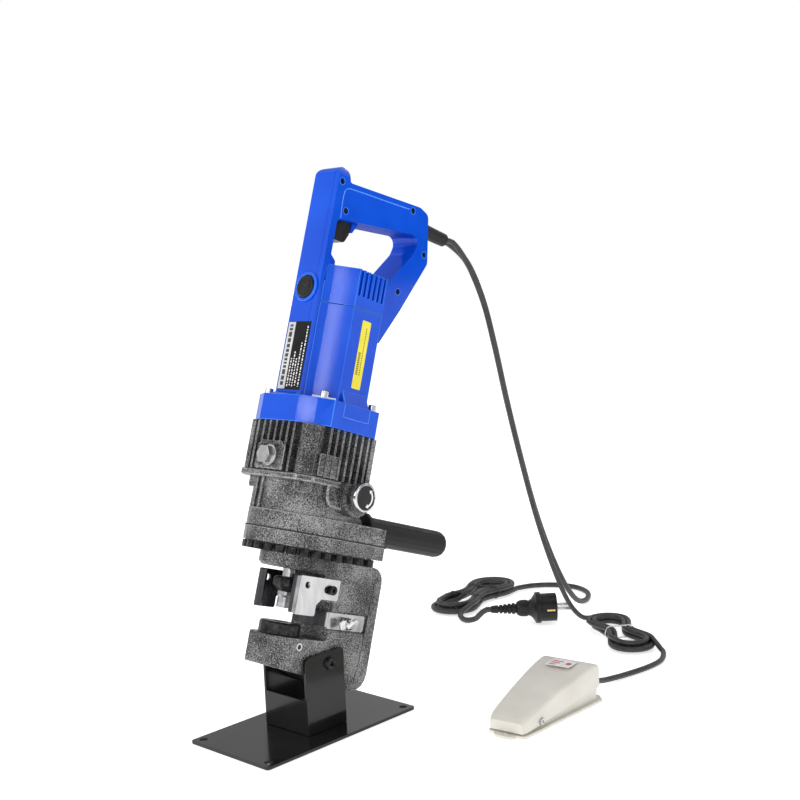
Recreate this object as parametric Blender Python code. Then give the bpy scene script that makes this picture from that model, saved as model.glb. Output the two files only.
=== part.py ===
"""Hydraulic hole punching machine on a tilting bench stand, with foot switch and mains lead.

Lengths are millimetres and become metres in make(). The world origin is the centre of the base
plate's underside, +Z up, the tool's open throat towards -Y. The tool is drawn upright in its own
frame (origin on the punch axis at the height of the stand bolts) and leans back on those bolts.
"""
import math

import bmesh
import bpy
from mathutils import Euler, Vector

MM = 0.001
GAP = 0.3
SMOOTH_ANGLE = math.radians(32)

# ---- stand ----
PLATE = (113.5, 200.0, 3.0)
PLATE_HOLE_R, PLATE_HOLE_INSET = 4.0, 9.0
BRACKET_HALF, BRACKET_SHEET = 31.2, 3.0
BRACKET_FRONT, BRACKET_BACK, BRACKET_TOP, BRACKET_WEB_TOP = -25.0, 26.8, 80.0, 38.0
PIVOT = (0.0, 7.0, 68.0)
LEAN = math.radians(18.0)

# ---- tool, in its own frame ----
PIVOT_Y = 45.0
HALF = 27.5
THROAT_Y, BACK_Y, JAW_FRONT_Y = 40.0, 104.0, -22.0
JAW_TOP, ARM_UNDER, ARM_TOP = 20.0, 84.5, 98.3
BOSS_R, NECK_R, BORE_R, ROD_R = 32.0, 36.0, 24.0, 12.5
FLANGE_R, FLANGE_BACK = 51.0, 79.0
FLANGE_LOW, FLANGE_MID, FLANGE_TOP = 106.0, 120.0, 137.0
RING_R, RING_STEP, RING_STEPS = 45.6, 15.0, 12
BOLT_HEAD_R, BOLT_SHANK_R, BOLT_PITCH_Y, BOLT_ROWS = 5.2, 2.7, 15.0, 4
DIE_R, DIE_BORE_R, DIE_TOP, SPIGOT_R = 20.5, 7.5, 32.5, 13.5
PUNCH_R, PUNCH_TIP, STROKE = 7.2, 46.0, 16.0
BODY_R, TANK_LOW, TANK_TOP = 47.0, 174.0, 222.3
TANK_HALF, TANK_CORE, FIN_PITCH, FIN_THICK = 51.5, 44.0, 8.6, 2.6
COLLAR_TOP, SEAM, HOUSING_TOP = 248.5, 344.0, 382.0
KNOB_AT, KNOB_R = (18.5, 163.0), 14.5
GRIP_Z, GRIP_R, GRIP_START, GRIP_END = 134.5, 14.5, 84.0, 218.0
HANDLE_HALF, COVER_SPLIT, WALL = 17.5, 11.0, 3.0
SLEEVE_Z, SLEEVE_END = 461.5, 138.0
BRUSH_Z = 357.0
SCREW_AT = (4.0, 12.4)
WING_AT = (59.0, 39.5)
STRIPPER_SCREW_AT = (31.0, 70.0)
ECCENTRIC, ECCENTRIC_R, PUMP_Z = 1.5, 9.0, 150.0

# ---- foot switch, in its own frame: front towards -Y ----
PEDAL_AT, PEDAL_TURN = (171.0, 160.0), math.radians(6.0)
PEDAL_FRONT, PEDAL_BACK = -64.0, 66.0
PEDAL_HALF_FRONT, PEDAL_HALF_BACK = 20.0, 32.5
PEDAL_NOSE_Z, PEDAL_BACK_Z = 17.0, 41.0
PEDAL_PIN = (-36.0, 9.5)

# ---- leads ----
MAINS_D, FOOT_D = 7.0, 6.0
MAINS_X, FOOT_X = -3.8, 3.6
LIFT = 1.8
MAINS_HANK = dict(at=(-160.0, 456.0), turn=math.radians(98.0), c=48.0, r=28.0, pinch=12.0, high=14.0)
FOOT_HANK = dict(at=(92.0, 424.0), turn=math.radians(-37.0), c=40.0, r=24.0, pinch=10.0, high=12.0)
PLUG_AT, PLUG_TURN, PLUG_R = (-20.4, 427.8), math.radians(43.0), 19.5

for obj in list(bpy.data.objects):
    bpy.data.objects.remove(obj, do_unlink=True)


# ---------------------------------------------------------------- shape helpers
def fillet(corners, steps=3):
    """Closed outline through (u, v, radius) corners, each corner rounded by an arc."""
    outline = []
    for i, (u, v, radius) in enumerate(corners):
        here = Vector((u, v))
        if radius <= 0:
            outline.append((u, v))
            continue
        before = (Vector(corners[i - 1][:2]) - here).normalized()
        after = (Vector(corners[(i + 1) % len(corners)][:2]) - here).normalized()
        half = before.angle(after) / 2
        centre = here + (before + after).normalized() * (radius / math.sin(half))
        start = here + before * (radius / math.tan(half)) - centre
        end = here + after * (radius / math.tan(half)) - centre
        sweep = math.atan2(start.x * end.y - start.y * end.x, start.dot(end))
        for k in range(steps + 1):
            turned_by = sweep * k / steps
            c, s = math.cos(turned_by), math.sin(turned_by)
            outline.append((centre.x + start.x * c - start.y * s, centre.y + start.x * s + start.y * c))
    return outline


def place(axis, u, v, w):
    """Point from outline coordinates u, v and depth w along the given axis."""
    return {"x": (w, u, v), "y": (u, w, v), "z": (u, v, w)}[axis]


def prism(bm, outline, low, high, axis="z"):
    """Closed prism of an outline: (y, z) along x, (x, z) along y or (x, y) along z."""
    rings = [[bm.verts.new(place(axis, p[0], p[1], w)) for p in outline] for w in (low, high)]
    faces = [bm.faces.new(ring) for ring in rings]
    for i in range(len(outline)):
        j = (i + 1) % len(outline)
        faces.append(bm.faces.new((rings[0][i], rings[0][j], rings[1][j], rings[1][i])))
    bmesh.ops.recalc_face_normals(bm, faces=faces)
    return bm


def block(bm, x, y, z):
    return prism(bm, [(x[0], y[0]), (x[1], y[0]), (x[1], y[1]), (x[0], y[1])], z[0], z[1])


def turned(bm, profile, axis="z", centre=(0.0, 0.0, 0.0), sides=24, phase=0.0):
    """Closed solid of revolution of (radius, height) points; it is a ring if no radius is 0."""
    base = Vector(centre)
    rings = []
    for radius, height in profile:
        if radius == 0:
            rings.append([bm.verts.new(Vector(place(axis, 0, 0, height)) + base)])
            continue
        angles = [phase + 2 * math.pi * k / sides for k in range(sides)]
        ring = [Vector(place(axis, radius * math.cos(a), radius * math.sin(a), height)) for a in angles]
        rings.append([bm.verts.new(p + base) for p in ring])
    if profile[0][0] > 0:
        rings.append(rings[0])
    faces = []
    for a, b in zip(rings, rings[1:]):
        for k in range(sides):
            m = (k + 1) % sides
            quad = [a[k % len(a)], a[m % len(a)], b[m % len(b)], b[k % len(b)]]
            corners = list(dict.fromkeys(quad))
            if len(corners) > 2:
                faces.append(bm.faces.new(corners))
    bmesh.ops.recalc_face_normals(bm, faces=faces)
    return bm


def rod(bm, radius, low, high, axis="z", centre=(0.0, 0.0, 0.0), sides=12, phase=0.0):
    return turned(bm, [(0, low), (radius, low), (radius, high), (0, high)], axis, centre, sides, phase)


def socket_head(bm, radius, low, high, axis, centre, socket, sides=12):
    """Round screw head from low to high with a hexagonal recess, as one turned solid."""
    deep = high - 0.6 * (high - low)
    return turned(bm, [(0, low), (radius, low), (radius, high), (socket, high), (socket, deep), (0, deep)],
                  axis, centre, sides)


def slot_outline(a, b, radius, steps=5):
    """Outline of a slot whose end centres are a and b, along u."""
    right = [(b[0] + radius * math.sin(math.pi * k / steps), b[1] - radius * math.cos(math.pi * k / steps))
             for k in range(steps + 1)]
    left = [(a[0] - radius * math.sin(math.pi * k / steps), a[1] + radius * math.cos(math.pi * k / steps))
            for k in range(steps + 1)]
    return right + left


# ---------------------------------------------------------------- objects and materials
MATERIALS = {
    "blue_paint": ((0.012, 0.10, 0.72), 0.28, 0.0),
    "hammered_grey": ((0.07, 0.07, 0.072), 0.45, 0.35),
    "black_gloss": ((0.008, 0.008, 0.009), 0.15, 0.0),
    "black_steel": ((0.02, 0.02, 0.022), 0.4, 0.7),
    "zinc": ((0.62, 0.62, 0.63), 0.3, 1.0),
    "chrome": ((0.75, 0.75, 0.76), 0.12, 1.0),
    "steel": ((0.45, 0.45, 0.46), 0.35, 1.0),
    "rubber": ((0.018, 0.018, 0.019), 0.6, 0.0),
    "cord_rubber": ((0.02, 0.02, 0.021), 0.5, 0.0),
    "black_plastic": ((0.015, 0.015, 0.016), 0.4, 0.0),
    "pedal_white": ((0.78, 0.76, 0.70), 0.45, 0.0),
    "copper": ((0.72, 0.35, 0.18), 0.35, 1.0),
    "carbon": ((0.03, 0.03, 0.03), 0.7, 0.2),
    "white_tie": ((0.8, 0.8, 0.8), 0.5, 0.0),
}


def material(name):
    found = bpy.data.materials.get(name)
    if found:
        return found
    colour, roughness, metallic = MATERIALS[name]
    made = bpy.data.materials.new(name)
    made.use_nodes = True
    shader = made.node_tree.nodes["Principled BSDF"]
    shader.inputs["Base Color"].default_value = (*colour, 1.0)
    shader.inputs["Roughness"].default_value = roughness
    shader.inputs["Metallic"].default_value = metallic
    return made


def empty(name, location, rotation=(0.0, 0.0, 0.0)):
    made = bpy.data.objects.new(name, None)
    made.location = Vector(location) * MM
    made.rotation_euler = Euler(rotation)
    bpy.context.scene.collection.objects.link(made)
    return made


def make(name, bm, slot, frame=None, origin=(0.0, 0.0, 0.0), guide=False):
    """Object from a bmesh drawn in its frame, with its own origin at the given point."""
    bmesh.ops.translate(bm, vec=-Vector(origin), verts=bm.verts)
    bmesh.ops.scale(bm, vec=(MM, MM, MM), verts=bm.verts)
    mesh = bpy.data.meshes.new(name)
    bm.to_mesh(mesh)
    bm.free()
    mesh.shade_smooth()
    mesh.set_sharp_from_angle(angle=SMOOTH_ANGLE)
    made = bpy.data.objects.new(name, mesh)
    made.parent = frame
    made.location = Vector(origin) * MM
    bpy.context.scene.collection.objects.link(made)
    if guide:
        made.hide_render = True
        made.display_type = "WIRE"
    else:
        mesh.materials.append(material(slot))
    return made


def boolean(target, bm, operation):
    number = len(target.modifiers)
    guide = make(f"{target.name}_guide_{number}", bm, None, target.parent, guide=True)
    step = target.modifiers.new(f"{operation.lower()}_{number}", "BOOLEAN")
    step.operation = operation
    step.solver = "EXACT"
    step.object = guide


def weld(target, bm):
    boolean(target, bm, "UNION")


def carve(target, bm):
    boolean(target, bm, "DIFFERENCE")


# ---------------------------------------------------------------- outlines shared by pieces
def flange_outline(radius, back):
    arc = [(radius * math.cos(math.pi * (1 + k / 16)), radius * math.sin(math.pi * (1 + k / 16)))
           for k in range(17)]
    return arc + [(radius, back - 5), (radius - 5, back), (5 - radius, back), (-radius, back - 5)]


def ring_places():
    """Bolt centres round the front arc and along both straight sides of the flange."""
    arc = [math.pi + math.radians(RING_STEP * k) for k in range(RING_STEPS + 1)]
    places = [(RING_R * math.cos(a), RING_R * math.sin(a)) for a in arc]
    for side in (-1, 1):
        places += [(side * RING_R, BOLT_PITCH_Y * row) for row in range(1, BOLT_ROWS + 1)]
    return places


def collar_outline():
    right = [(25, -52.5), (42, -43), (53.5, -31), (53.5, 31), (42, 43), (25, 52.5)]
    return right + [(-x, y) for x, y in reversed(right)]


def motor_outline(rear):
    right = [(17.5, -39.7), (22, -33), (43, -18), (43, 22), (22, 35), (17.5, rear)]
    return right + [(-x, y) for x, y in reversed(right)]


def fin_outline():
    """Plan of the finned tank: comb on each face, posts at the corners."""
    fins = 7
    first = -FIN_PITCH * (fins - 1) / 2
    face = []
    for k in range(fins):
        middle = first + FIN_PITCH * k
        face += [(middle - FIN_THICK / 2, TANK_CORE), (middle - FIN_THICK / 2, TANK_HALF),
                 (middle + FIN_THICK / 2, TANK_HALF), (middle + FIN_THICK / 2, TANK_CORE)]
    post = [(33.5, TANK_CORE), (33.5, TANK_HALF - 3), (39, TANK_HALF - 3), (TANK_HALF - 3, 39),
            (TANK_HALF - 3, 33.5), (TANK_CORE, 33.5)]
    outline = []
    for quarter in range(4):
        c, s = round(math.cos(-quarter * math.pi / 2)), round(math.sin(-quarter * math.pi / 2))
        outline += [(x * c - y * s, x * s + y * c) for x, y in face + post]
    return outline


# ---------------------------------------------------------------- stand
def build_stand():
    half_x, half_y = PLATE[0] / 2, PLATE[1] / 2
    bm = prism(bmesh.new(), fillet([(-half_x, -half_y, 3), (half_x, -half_y, 3),
                                    (half_x, half_y, 3), (-half_x, half_y, 3)], 2), 0, PLATE[2])
    plate = make("base_plate", bm, "black_gloss")
    holes = bmesh.new()
    for sx in (-1, 1):
        for sy in (-1, 1):
            centre = (sx * (half_x - PLATE_HOLE_INSET), sy * (half_y - PLATE_HOLE_INSET), 0)
            rod(holes, PLATE_HOLE_R, -1, PLATE[2] + 1, centre=centre, sides=16)
    carve(plate, holes)
    foot = PLATE[2] + GAP
    cheek = fillet([(BRACKET_FRONT, foot, 0), (BRACKET_BACK, foot, 0), (BRACKET_BACK, BRACKET_TOP, 4),
                    (BRACKET_FRONT, BRACKET_TOP, 6)])
    bracket = make("stand_bracket", prism(bmesh.new(), cheek, -BRACKET_HALF, BRACKET_HALF, "x"), "black_gloss")
    inside = BRACKET_HALF - BRACKET_SHEET
    cuts = block(bmesh.new(), (-inside, inside), (BRACKET_FRONT + BRACKET_SHEET, 60), (0, 90))
    carve(bracket, cuts)
    carve(bracket, block(bmesh.new(), (-inside, inside), (-60, 60), (BRACKET_WEB_TOP, 90)))
    carve(bracket, rod(bmesh.new(), 4.4, -40, 40, "x", (0, PIVOT[1], PIVOT[2]), 16))


# ---------------------------------------------------------------- tool: frame, die and stripper
def build_c_frame(tool):
    profile = fillet([(JAW_FRONT_Y, JAW_TOP, 1.5), (THROAT_Y, JAW_TOP, 5), (THROAT_Y, 58, 3), (22, 58, 2),
                      (22, ARM_UNDER, 2), (0, ARM_UNDER, 0), (0, FLANGE_LOW + 2, 0), (74, FLANGE_LOW + 2, 0),
                      (74, ARM_TOP, 0), (BACK_Y, ARM_TOP, 15), (BACK_Y, -26, 18), (62, -26, 5),
                      (34, -16.5, 10), (JAW_FRONT_Y, -9, 3)], 4)
    frame = make("c_frame", prism(bmesh.new(), profile, -HALF, HALF, "x"), "hammered_grey", tool)
    weld(frame, turned(bmesh.new(), [(0, ARM_UNDER), (BOSS_R - 3, ARM_UNDER), (BOSS_R, ARM_UNDER + 3),
                                     (BOSS_R, ARM_TOP), (NECK_R, ARM_TOP), (NECK_R, FLANGE_LOW + 1),
                                     (0, FLANGE_LOW + 1)], sides=32))
    weld(frame, prism(bmesh.new(), flange_outline(FLANGE_R, FLANGE_BACK), FLANGE_LOW, FLANGE_MID))
    corners = bmesh.new()
    for side in (-1, 1):
        prism(corners, [(side * 17.5, JAW_FRONT_Y - 1), (side * 29, JAW_FRONT_Y - 1), (side * 29, -8.5),
                        (side * 17.5, JAW_FRONT_Y)], -30, JAW_TOP + 1)
    carve(frame, corners)
    bores = turned(bmesh.new(), [(0, 70), (ROD_R + 0.5, 70), (ROD_R + 0.5, 88), (BORE_R, 88),
                                 (BORE_R, FLANGE_MID + 1), (0, FLANGE_MID + 1)], sides=20)
    rod(bores, SPIGOT_R + GAP, -40, JAW_TOP + 2, sides=24)
    carve(frame, bores)
    sides = block(bmesh.new(), (25, 40), (THROAT_Y - 4, 92), (31, 50))
    for side in (-1, 1):
        low, high = sorted((side * 16, side * 40))
        rod(sides, 4.3, low, high, "x", (0, PIVOT_Y, 0), 12)
        rod(sides, 2.9, low + side * 3, high, "x", (0, *STRIPPER_SCREW_AT), 8)
    rod(sides, 4.3, 14.5, 40, "x", (0, *SCREW_AT), 12)
    for x, y in ring_places():
        rod(sides, BOLT_SHANK_R + GAP, FLANGE_LOW - 1, FLANGE_MID + 1, centre=(x, y, 0), sides=5)
    carve(frame, sides)
    carve(frame, rod(bmesh.new(), 3.3, 10, 30, "x", (0, *WING_AT), 10))


def build_die_set(tool):
    turned_die = [(DIE_BORE_R, 4), (SPIGOT_R, 4), (SPIGOT_R, JAW_TOP + GAP), (DIE_R, JAW_TOP + GAP),
                  (DIE_R, DIE_TOP - 1.5), (DIE_R - 1.5, DIE_TOP), (DIE_BORE_R, DIE_TOP)]
    make("lower_die", turned(bmesh.new(), turned_die, sides=24), "black_steel", tool)
    screw = socket_head(bmesh.new(), 4.0, 14.8, HALF + 0.6, "x", (0, *SCREW_AT), 2.3)
    make("die_set_screw", screw, "chrome", tool)
    for side, hand in ((-1, "left"), (1, "right")):
        outline = fillet([(-12, 43, 1), (14, 43, 2), (14, 54, 0), (20, 60, 0), (42, 60, 1.5), (42, 80.5, 1.5),
                          (-12, 80.5, 1)], 2)
        low, high = sorted((side * (HALF + GAP), side * (HALF + GAP + 2.5)))
        plate = make(f"stripper_plate_{hand}", prism(bmesh.new(), outline, low, high, "x"), "zinc", tool)
        inner, outer = sorted((side * 20.0, side * (HALF + GAP + 1)))
        weld(plate, block(bmesh.new(), (inner, outer), (-12, -9.5), (44, 79.5)))
        holes = rod(bmesh.new(), 3.4, low - 2, high + 2, "x", (0, -1.5, 72), 12)
        prism(holes, slot_outline((25, 70), STRIPPER_SCREW_AT, 3.6), low - 2, high + 2, "x")
        carve(plate, holes)
        shape = [(0, 19.4), (2.5, 19.4), (2.5, HALF + 3.1), (4.6, HALF + 3.1), (4.6, HALF + 7.0),
                 (2.0, HALF + 7.0), (2.0, HALF + 4.6), (0, HALF + 4.6)]
        screw = turned(bmesh.new(), [(r, side * x) for r, x in shape], "x", (0, *STRIPPER_SCREW_AT), 12)
        make(f"stripper_screw_{hand}", screw, "black_steel", tool)


def build_backstop(tool):
    strip = prism(bmesh.new(), fillet([(37, 32.5, 0), (88, 32.5, 2), (88, 48.5, 2), (37, 48.5, 0)], 2),
                  25.3, 27.3, "x")
    stop = make("backstop_bracket", strip, "zinc", tool, origin=(26.0, 60.0, 40.0))
    weld_shape = block(bmesh.new(), (-21, 26.5), (34.8, 37.2), (34, 48.5))
    weld(stop, weld_shape)
    carve(stop, prism(bmesh.new(), slot_outline((58.5, 39.5), (76, 39.5), 3.6), 20, 30, "x"))
    wings = turned(bmesh.new(), [(0, 11), (3.0, 11), (3.0, 27.6), (6.0, 27.6), (6.0, 36), (4.0, 40),
                                 (0, 40)], "x", (0, *WING_AT), 12)
    screw = make("wing_screw", wings, "chrome", tool, origin=(28.0, *WING_AT))
    for side in (-1, 1):
        y, z = WING_AT
        wing = fillet([(y + side * 2.0, z - 3.5, 0), (y + side * 12.5, z + side * 2 - 6, 3),
                       (y + side * 13.5, z + side * 2 + 6, 3), (y + side * 2.0, z + 3.5, 0)], 2)
        weld(screw, prism(bmesh.new(), wing, 33.5, 36.0, "x"))


def build_ring_bolts(tool):
    """Cap screws round the flange, joined by the thin washer strip under their heads."""
    top = FLANGE_LOW - GAP
    inner, outer, end = RING_R - 3.5, RING_R + 3.5, BOLT_PITCH_Y * BOLT_ROWS + 3
    arc = [math.pi * (1 + k / 16) for k in range(17)]
    strip = [(-outer, end)] + [(outer * math.cos(a), outer * math.sin(a)) for a in arc] + [(outer, end)]
    strip += [(inner, end)] + [(inner * math.cos(a), inner * math.sin(a)) for a in reversed(arc)]
    strip += [(-inner, end)]
    ring = make("flange_bolt_ring", prism(bmesh.new(), strip, top - 1.0, top), "black_steel", tool)
    bolts = bmesh.new()
    for x, y in ring_places():
        rod(bolts, BOLT_HEAD_R, top - 7.6, top - 0.5, centre=(x, y, 0), sides=8)
    weld(ring, bolts)
    shanks = bmesh.new()
    for x, y in ring_places():
        rod(shanks, BOLT_SHANK_R, top - 0.7, FLANGE_MID + 8, centre=(x, y, 0), sides=5)
    weld(ring, shanks)


def build_ram(tool):
    piston = turned(bmesh.new(), [(0, 76), (7, 76), (7, 84), (ROD_R, 86), (ROD_R, 106), (BORE_R - 0.4, 106),
                                  (BORE_R - 0.4, 110), (BORE_R - 3, 110), (BORE_R - 3, 113.5),
                                  (BORE_R - 0.4, 113.5), (BORE_R - 0.4, 118), (0, 118)], sides=20)
    make("piston", piston, "chrome", tool)
    seal = [(BORE_R - 2.7, 110.3), (BORE_R - 0.1, 110.3), (BORE_R - 0.1, 113.2), (BORE_R - 2.7, 113.2)]
    make("piston_seal", turned(bmesh.new(), seal, sides=20), "rubber", tool)
    holder = [(0, 62), (8.5, 62), (11.5, 65), (14.5, 67), (14.5, 75.7 - 2), (12, 75.7), (0, 75.7)]
    make("punch_holder", turned(bmesh.new(), holder, sides=20), "black_steel", tool)
    punch = [(0, PUNCH_TIP + 0.6), (1.2, PUNCH_TIP), (PUNCH_R, PUNCH_TIP), (PUNCH_R, 56), (8.6, 58),
             (8.6, 61.7), (0, 61.7)]
    make("punch", turned(bmesh.new(), punch, sides=20), "steel", tool)
    spring = turned(bmesh.new(), [(14.5, 88.5), (18.5, 88.5), (18.5, 105.6), (14.5, 105.6)], sides=16)
    make("return_spring", spring, "steel", tool)


# ---------------------------------------------------------------- tool: pump
def build_pump(tool):
    flange = flange_outline(FLANGE_R - 0.5, FLANGE_BACK - 1)
    body = make("pump_body", prism(bmesh.new(), flange, FLANGE_MID + GAP, FLANGE_TOP), "hammered_grey", tool)
    weld(body, rod(bmesh.new(), BODY_R, FLANGE_MID + 2, TANK_LOW, sides=40))
    weld(body, rod(bmesh.new(), 13, 20, FLANGE_BACK - 2, "y", (0, 0, GRIP_Z), 20))
    y, z = KNOB_AT
    boss = [(y + 20, TANK_LOW), (y - 20, TANK_LOW)]
    boss += [(y - 20 * math.cos(math.pi * k / 10), z - 20 * math.sin(math.pi * k / 10)) for k in range(11)]
    weld(body, prism(bmesh.new(), boss, 25, 57, "x"))
    cuts = rod(bmesh.new(), 30, 128, TANK_LOW + 2, sides=24)
    for x, y in ring_places():
        rod(cuts, BOLT_SHANK_R + GAP, FLANGE_MID - 1, FLANGE_MID + 9, centre=(x, y, 0), sides=5)
    rod(cuts, 5.3, 60, FLANGE_BACK + 4, "y", (0, 0, GRIP_Z), 12)
    rod(cuts, 5.3, 36, 60, "x", (0, *KNOB_AT), 12)
    carve(body, cuts)

    tank = make("oil_tank", prism(bmesh.new(), fin_outline(), TANK_LOW + GAP, TANK_TOP), "hammered_grey", tool)
    weld(tank, block(bmesh.new(), (-15, 15), (-53, -40), (TANK_LOW + 3, TANK_TOP - 20)))
    carve(tank, rod(bmesh.new(), 40, TANK_LOW - 5, TANK_TOP + 5, sides=24))
    carve(tank, rod(bmesh.new(), 6.3, -60, -35, "y", (0, 0, 188), 12))
    plug = turned(bmesh.new(), [(0, -53.3), (10.5, -53.3), (10.5, -54.8), (0, -54.8)], "y", (0, 0, 188), 16)
    oil_plug = make("oil_plug", plug, "zinc", tool)
    weld(oil_plug, rod(bmesh.new(), 9.2, -62, -54, "y", (0, 0, 188), 6))
    weld(oil_plug, rod(bmesh.new(), 6, -54, -41, "y", (0, 0, 188), 12))
    bladder = [(31, 181), (33, 179), (37, 179), (39, 181), (39, 214), (37, 216), (33, 216), (31, 214)]
    make("oil_bladder", turned(bmesh.new(), bladder, sides=20), "rubber", tool)

    shape = [(12.6, 128.3), (29.6, 128.3), (29.6, 172), (24, 176), (24, 204), (12.6, 204)]
    pump = make("pump_block", turned(bmesh.new(), shape, sides=20), "steel", tool)
    cuts = bmesh.new()
    for side in (-1, 1):
        low, high = sorted((side * 8, side * 26))
        rod(cuts, 4.3, low, high, "y", (0, 0, PUMP_Z), 12)
    carve(pump, cuts)
    for name, side in (("plunger_front", -1), ("plunger_rear", 1)):
        low, high = sorted((side * 11.0, side * 22.0))
        made = rod(bmesh.new(), 4.0, low, high, "y", (0, 0, PUMP_Z), 12)
        make(name, made, "chrome", tool, origin=(0, side * 16, PUMP_Z))


def build_knob_and_grip(tool):
    knob = turned(bmesh.new(), [(0, 38), (5, 38), (5, 60.3), (KNOB_R, 60.3), (KNOB_R, 67), (KNOB_R - 1, 67.8),
                                (KNOB_R - 2.5, 67.8), (KNOB_R - 2.5, 67), (0, 67)], "x", (0, *KNOB_AT), 20)
    make("release_knob", knob, "chrome", tool, origin=(60, *KNOB_AT))
    dome = [(GRIP_R * math.sin(math.pi / 2 * k / 4), GRIP_END - 10 + 10 * math.cos(math.pi / 2 * k / 4))
            for k in range(1, 5)]
    shape = [(0, GRIP_END)] + dome + [(GRIP_R, GRIP_START + 8), (18.5, GRIP_START + 6),
                                      (18.5, GRIP_START + 1), (16.5, GRIP_START), (5.5, GRIP_START),
                                      (5.5, 190), (0, 190)]
    make("side_grip", turned(bmesh.new(), shape, "y", (0, 0, GRIP_Z), 16), "rubber", tool)
    make("grip_stud", rod(bmesh.new(), 5.0, 61, 189, "y", (0, 0, GRIP_Z), 12), "steel", tool)


# ---------------------------------------------------------------- tool: motor
def build_motor(tool):
    low = TANK_TOP + GAP
    housing = make("motor_housing", prism(bmesh.new(), collar_outline(), low, COLLAR_TOP), "blue_paint", tool)
    weld(housing, prism(bmesh.new(), motor_outline(37.0), COLLAR_TOP - 8, SEAM - GAP))
    weld(housing, block(bmesh.new(), (-17.5, 17.5), (30, 47), (COLLAR_TOP - 4, 320)))
    cavity = turned(bmesh.new(), [(0, low - 5), (38, low - 5), (38, 244), (13.3, 244), (13.3, 258), (35, 258),
                                  (35, SEAM + 5), (0, SEAM + 5)], sides=24)
    carve(housing, cavity)
    rear = make("rear_housing", prism(bmesh.new(), motor_outline(37.0), SEAM + GAP, HOUSING_TOP),
                "blue_paint", tool)
    cuts = turned(bmesh.new(), [(0, SEAM - 2), (33, SEAM - 2), (33, 372), (8.3, 372), (8.3, 378.5),
                                (0, 378.5)], sides=20)
    carve(rear, cuts)
    carve(rear, block(bmesh.new(), (-18, 18), (-45, -29.5), (365, 390)))
    carve(rear, rod(bmesh.new(), 7.3, -45, 45, "y", (0, 0, BRUSH_Z), 16))
    vents = bmesh.new()
    for side in (-1, 1):
        for k in range(6):
            y = -14 + 6.4 * k
            x0, x1 = sorted((side * 36, side * 50))
            block(vents, (x0, x1), (y - 1.6, y + 1.6), (356, HOUSING_TOP + 5))
    carve(rear, vents)
    make("stator", turned(bmesh.new(), [(25.5, 262), (34.7, 262), (34.7, 322), (25.5, 322)], sides=20),
         "steel", tool)
    lower = turned(bmesh.new(), [(5.3, 250), (13, 250), (13, 257.5), (5.3, 257.5)], sides=20)
    make("lower_bearing", lower, "chrome", tool)
    upper = turned(bmesh.new(), [(4.3, 372.3), (8, 372.3), (8, 378.2), (4.3, 378.2)], sides=20)
    make("upper_bearing", upper, "chrome", tool)
    shaft = turned(bmesh.new(), [(0, 131), (6, 131), (6, 142), (6, 158), (8, 160), (8, 200), (5, 202), (5, 360),
                                 (4, 362), (4, 377), (0, 377)], sides=16)
    armature = make("armature_shaft", shaft, "steel", tool)
    weld(armature, rod(bmesh.new(), ECCENTRIC_R, 143, 157, centre=(ECCENTRIC, 0, 0), sides=20))
    core = [(5.3, 264), (24.5, 264), (24.5, 320), (5.3, 320)]
    make("armature_core", turned(bmesh.new(), core, sides=20), "copper", tool)
    ring = [(5.3, 346), (14, 346), (14, 359.5), (5.3, 359.5)]
    make("commutator", turned(bmesh.new(), ring, sides=16), "copper", tool)
    fan = turned(bmesh.new(), [(5.3, 228), (9, 228), (9, 240), (5.3, 240)], sides=16)
    fan_obj = make("cooling_fan", fan, "black_plastic", tool)
    blades = bmesh.new()
    for k in range(8):
        a = math.pi * k / 4
        c, s = math.cos(a), math.sin(a)
        corners = [(8, -1), (34, -1), (34, 1), (8, 1)]
        prism(blades, [(u * c - v * s, u * s + v * c) for u, v in corners], 229, 239)
    weld(fan_obj, blades)

    for side, end in ((-1, "front"), (1, "rear")):
        low, high = sorted((side * 14.4, side * 28))
        brush = block(bmesh.new(), (-3, 3), (low, high), (BRUSH_Z - 8.5, BRUSH_Z + 2))
        make(f"carbon_brush_{end}", brush, "carbon", tool)
    front = [(0, -48.5), (10, -48.5), (11.3, -47.4), (11.3, -45.3), (7, -45.3), (7, -30), (0, -30)]
    make("brush_cap", turned(bmesh.new(), front, "y", (0, 0, BRUSH_Z), 20), "black_plastic", tool)


# ---------------------------------------------------------------- tool: handle
HANDLE = [(-45, 249, 0), (-45, 482, 9), (-32, 482, 3), (-28, 468, 3), (76, 477, 14), (90, 473, 8),
          (101, 422.6, 8), (72, 364, 10), (49, 323, 2), (47.5, 323, 0), (47.5, 344.5, 0), (37.5, 344.5, 0),
          (37.5, 382.3, 0), (45, 382.3, 2), (78, 427, 14), (84, 448.3, 9), (-37, 428.3, 5), (-37, 392, 3),
          (-30, 387, 3), (-30, 366, 0), (-40, 366, 0), (-40, 249, 0)]
HOLLOW = [(-41.5, 392, 0), (-41.5, 476, 4), (-35, 476, 3), (-31, 464.5, 2), (76, 473, 8), (86, 469, 6),
          (97, 423, 6), (69, 367, 6), (53, 338, 2), (50.5, 347.5, 0), (40.5, 347.5, 0), (40.5, 379, 0),
          (47, 379, 0), (81, 425, 8), (87.5, 452.5, 4), (-12, 436, 2), (-39, 432, 2), (-39, 392, 0)]
HANDLE_SCREWS = [(-39.5, 466), (-28, 439), (66, 470), (93.5, 430.5), (64, 382), (-36, 377)]


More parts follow.
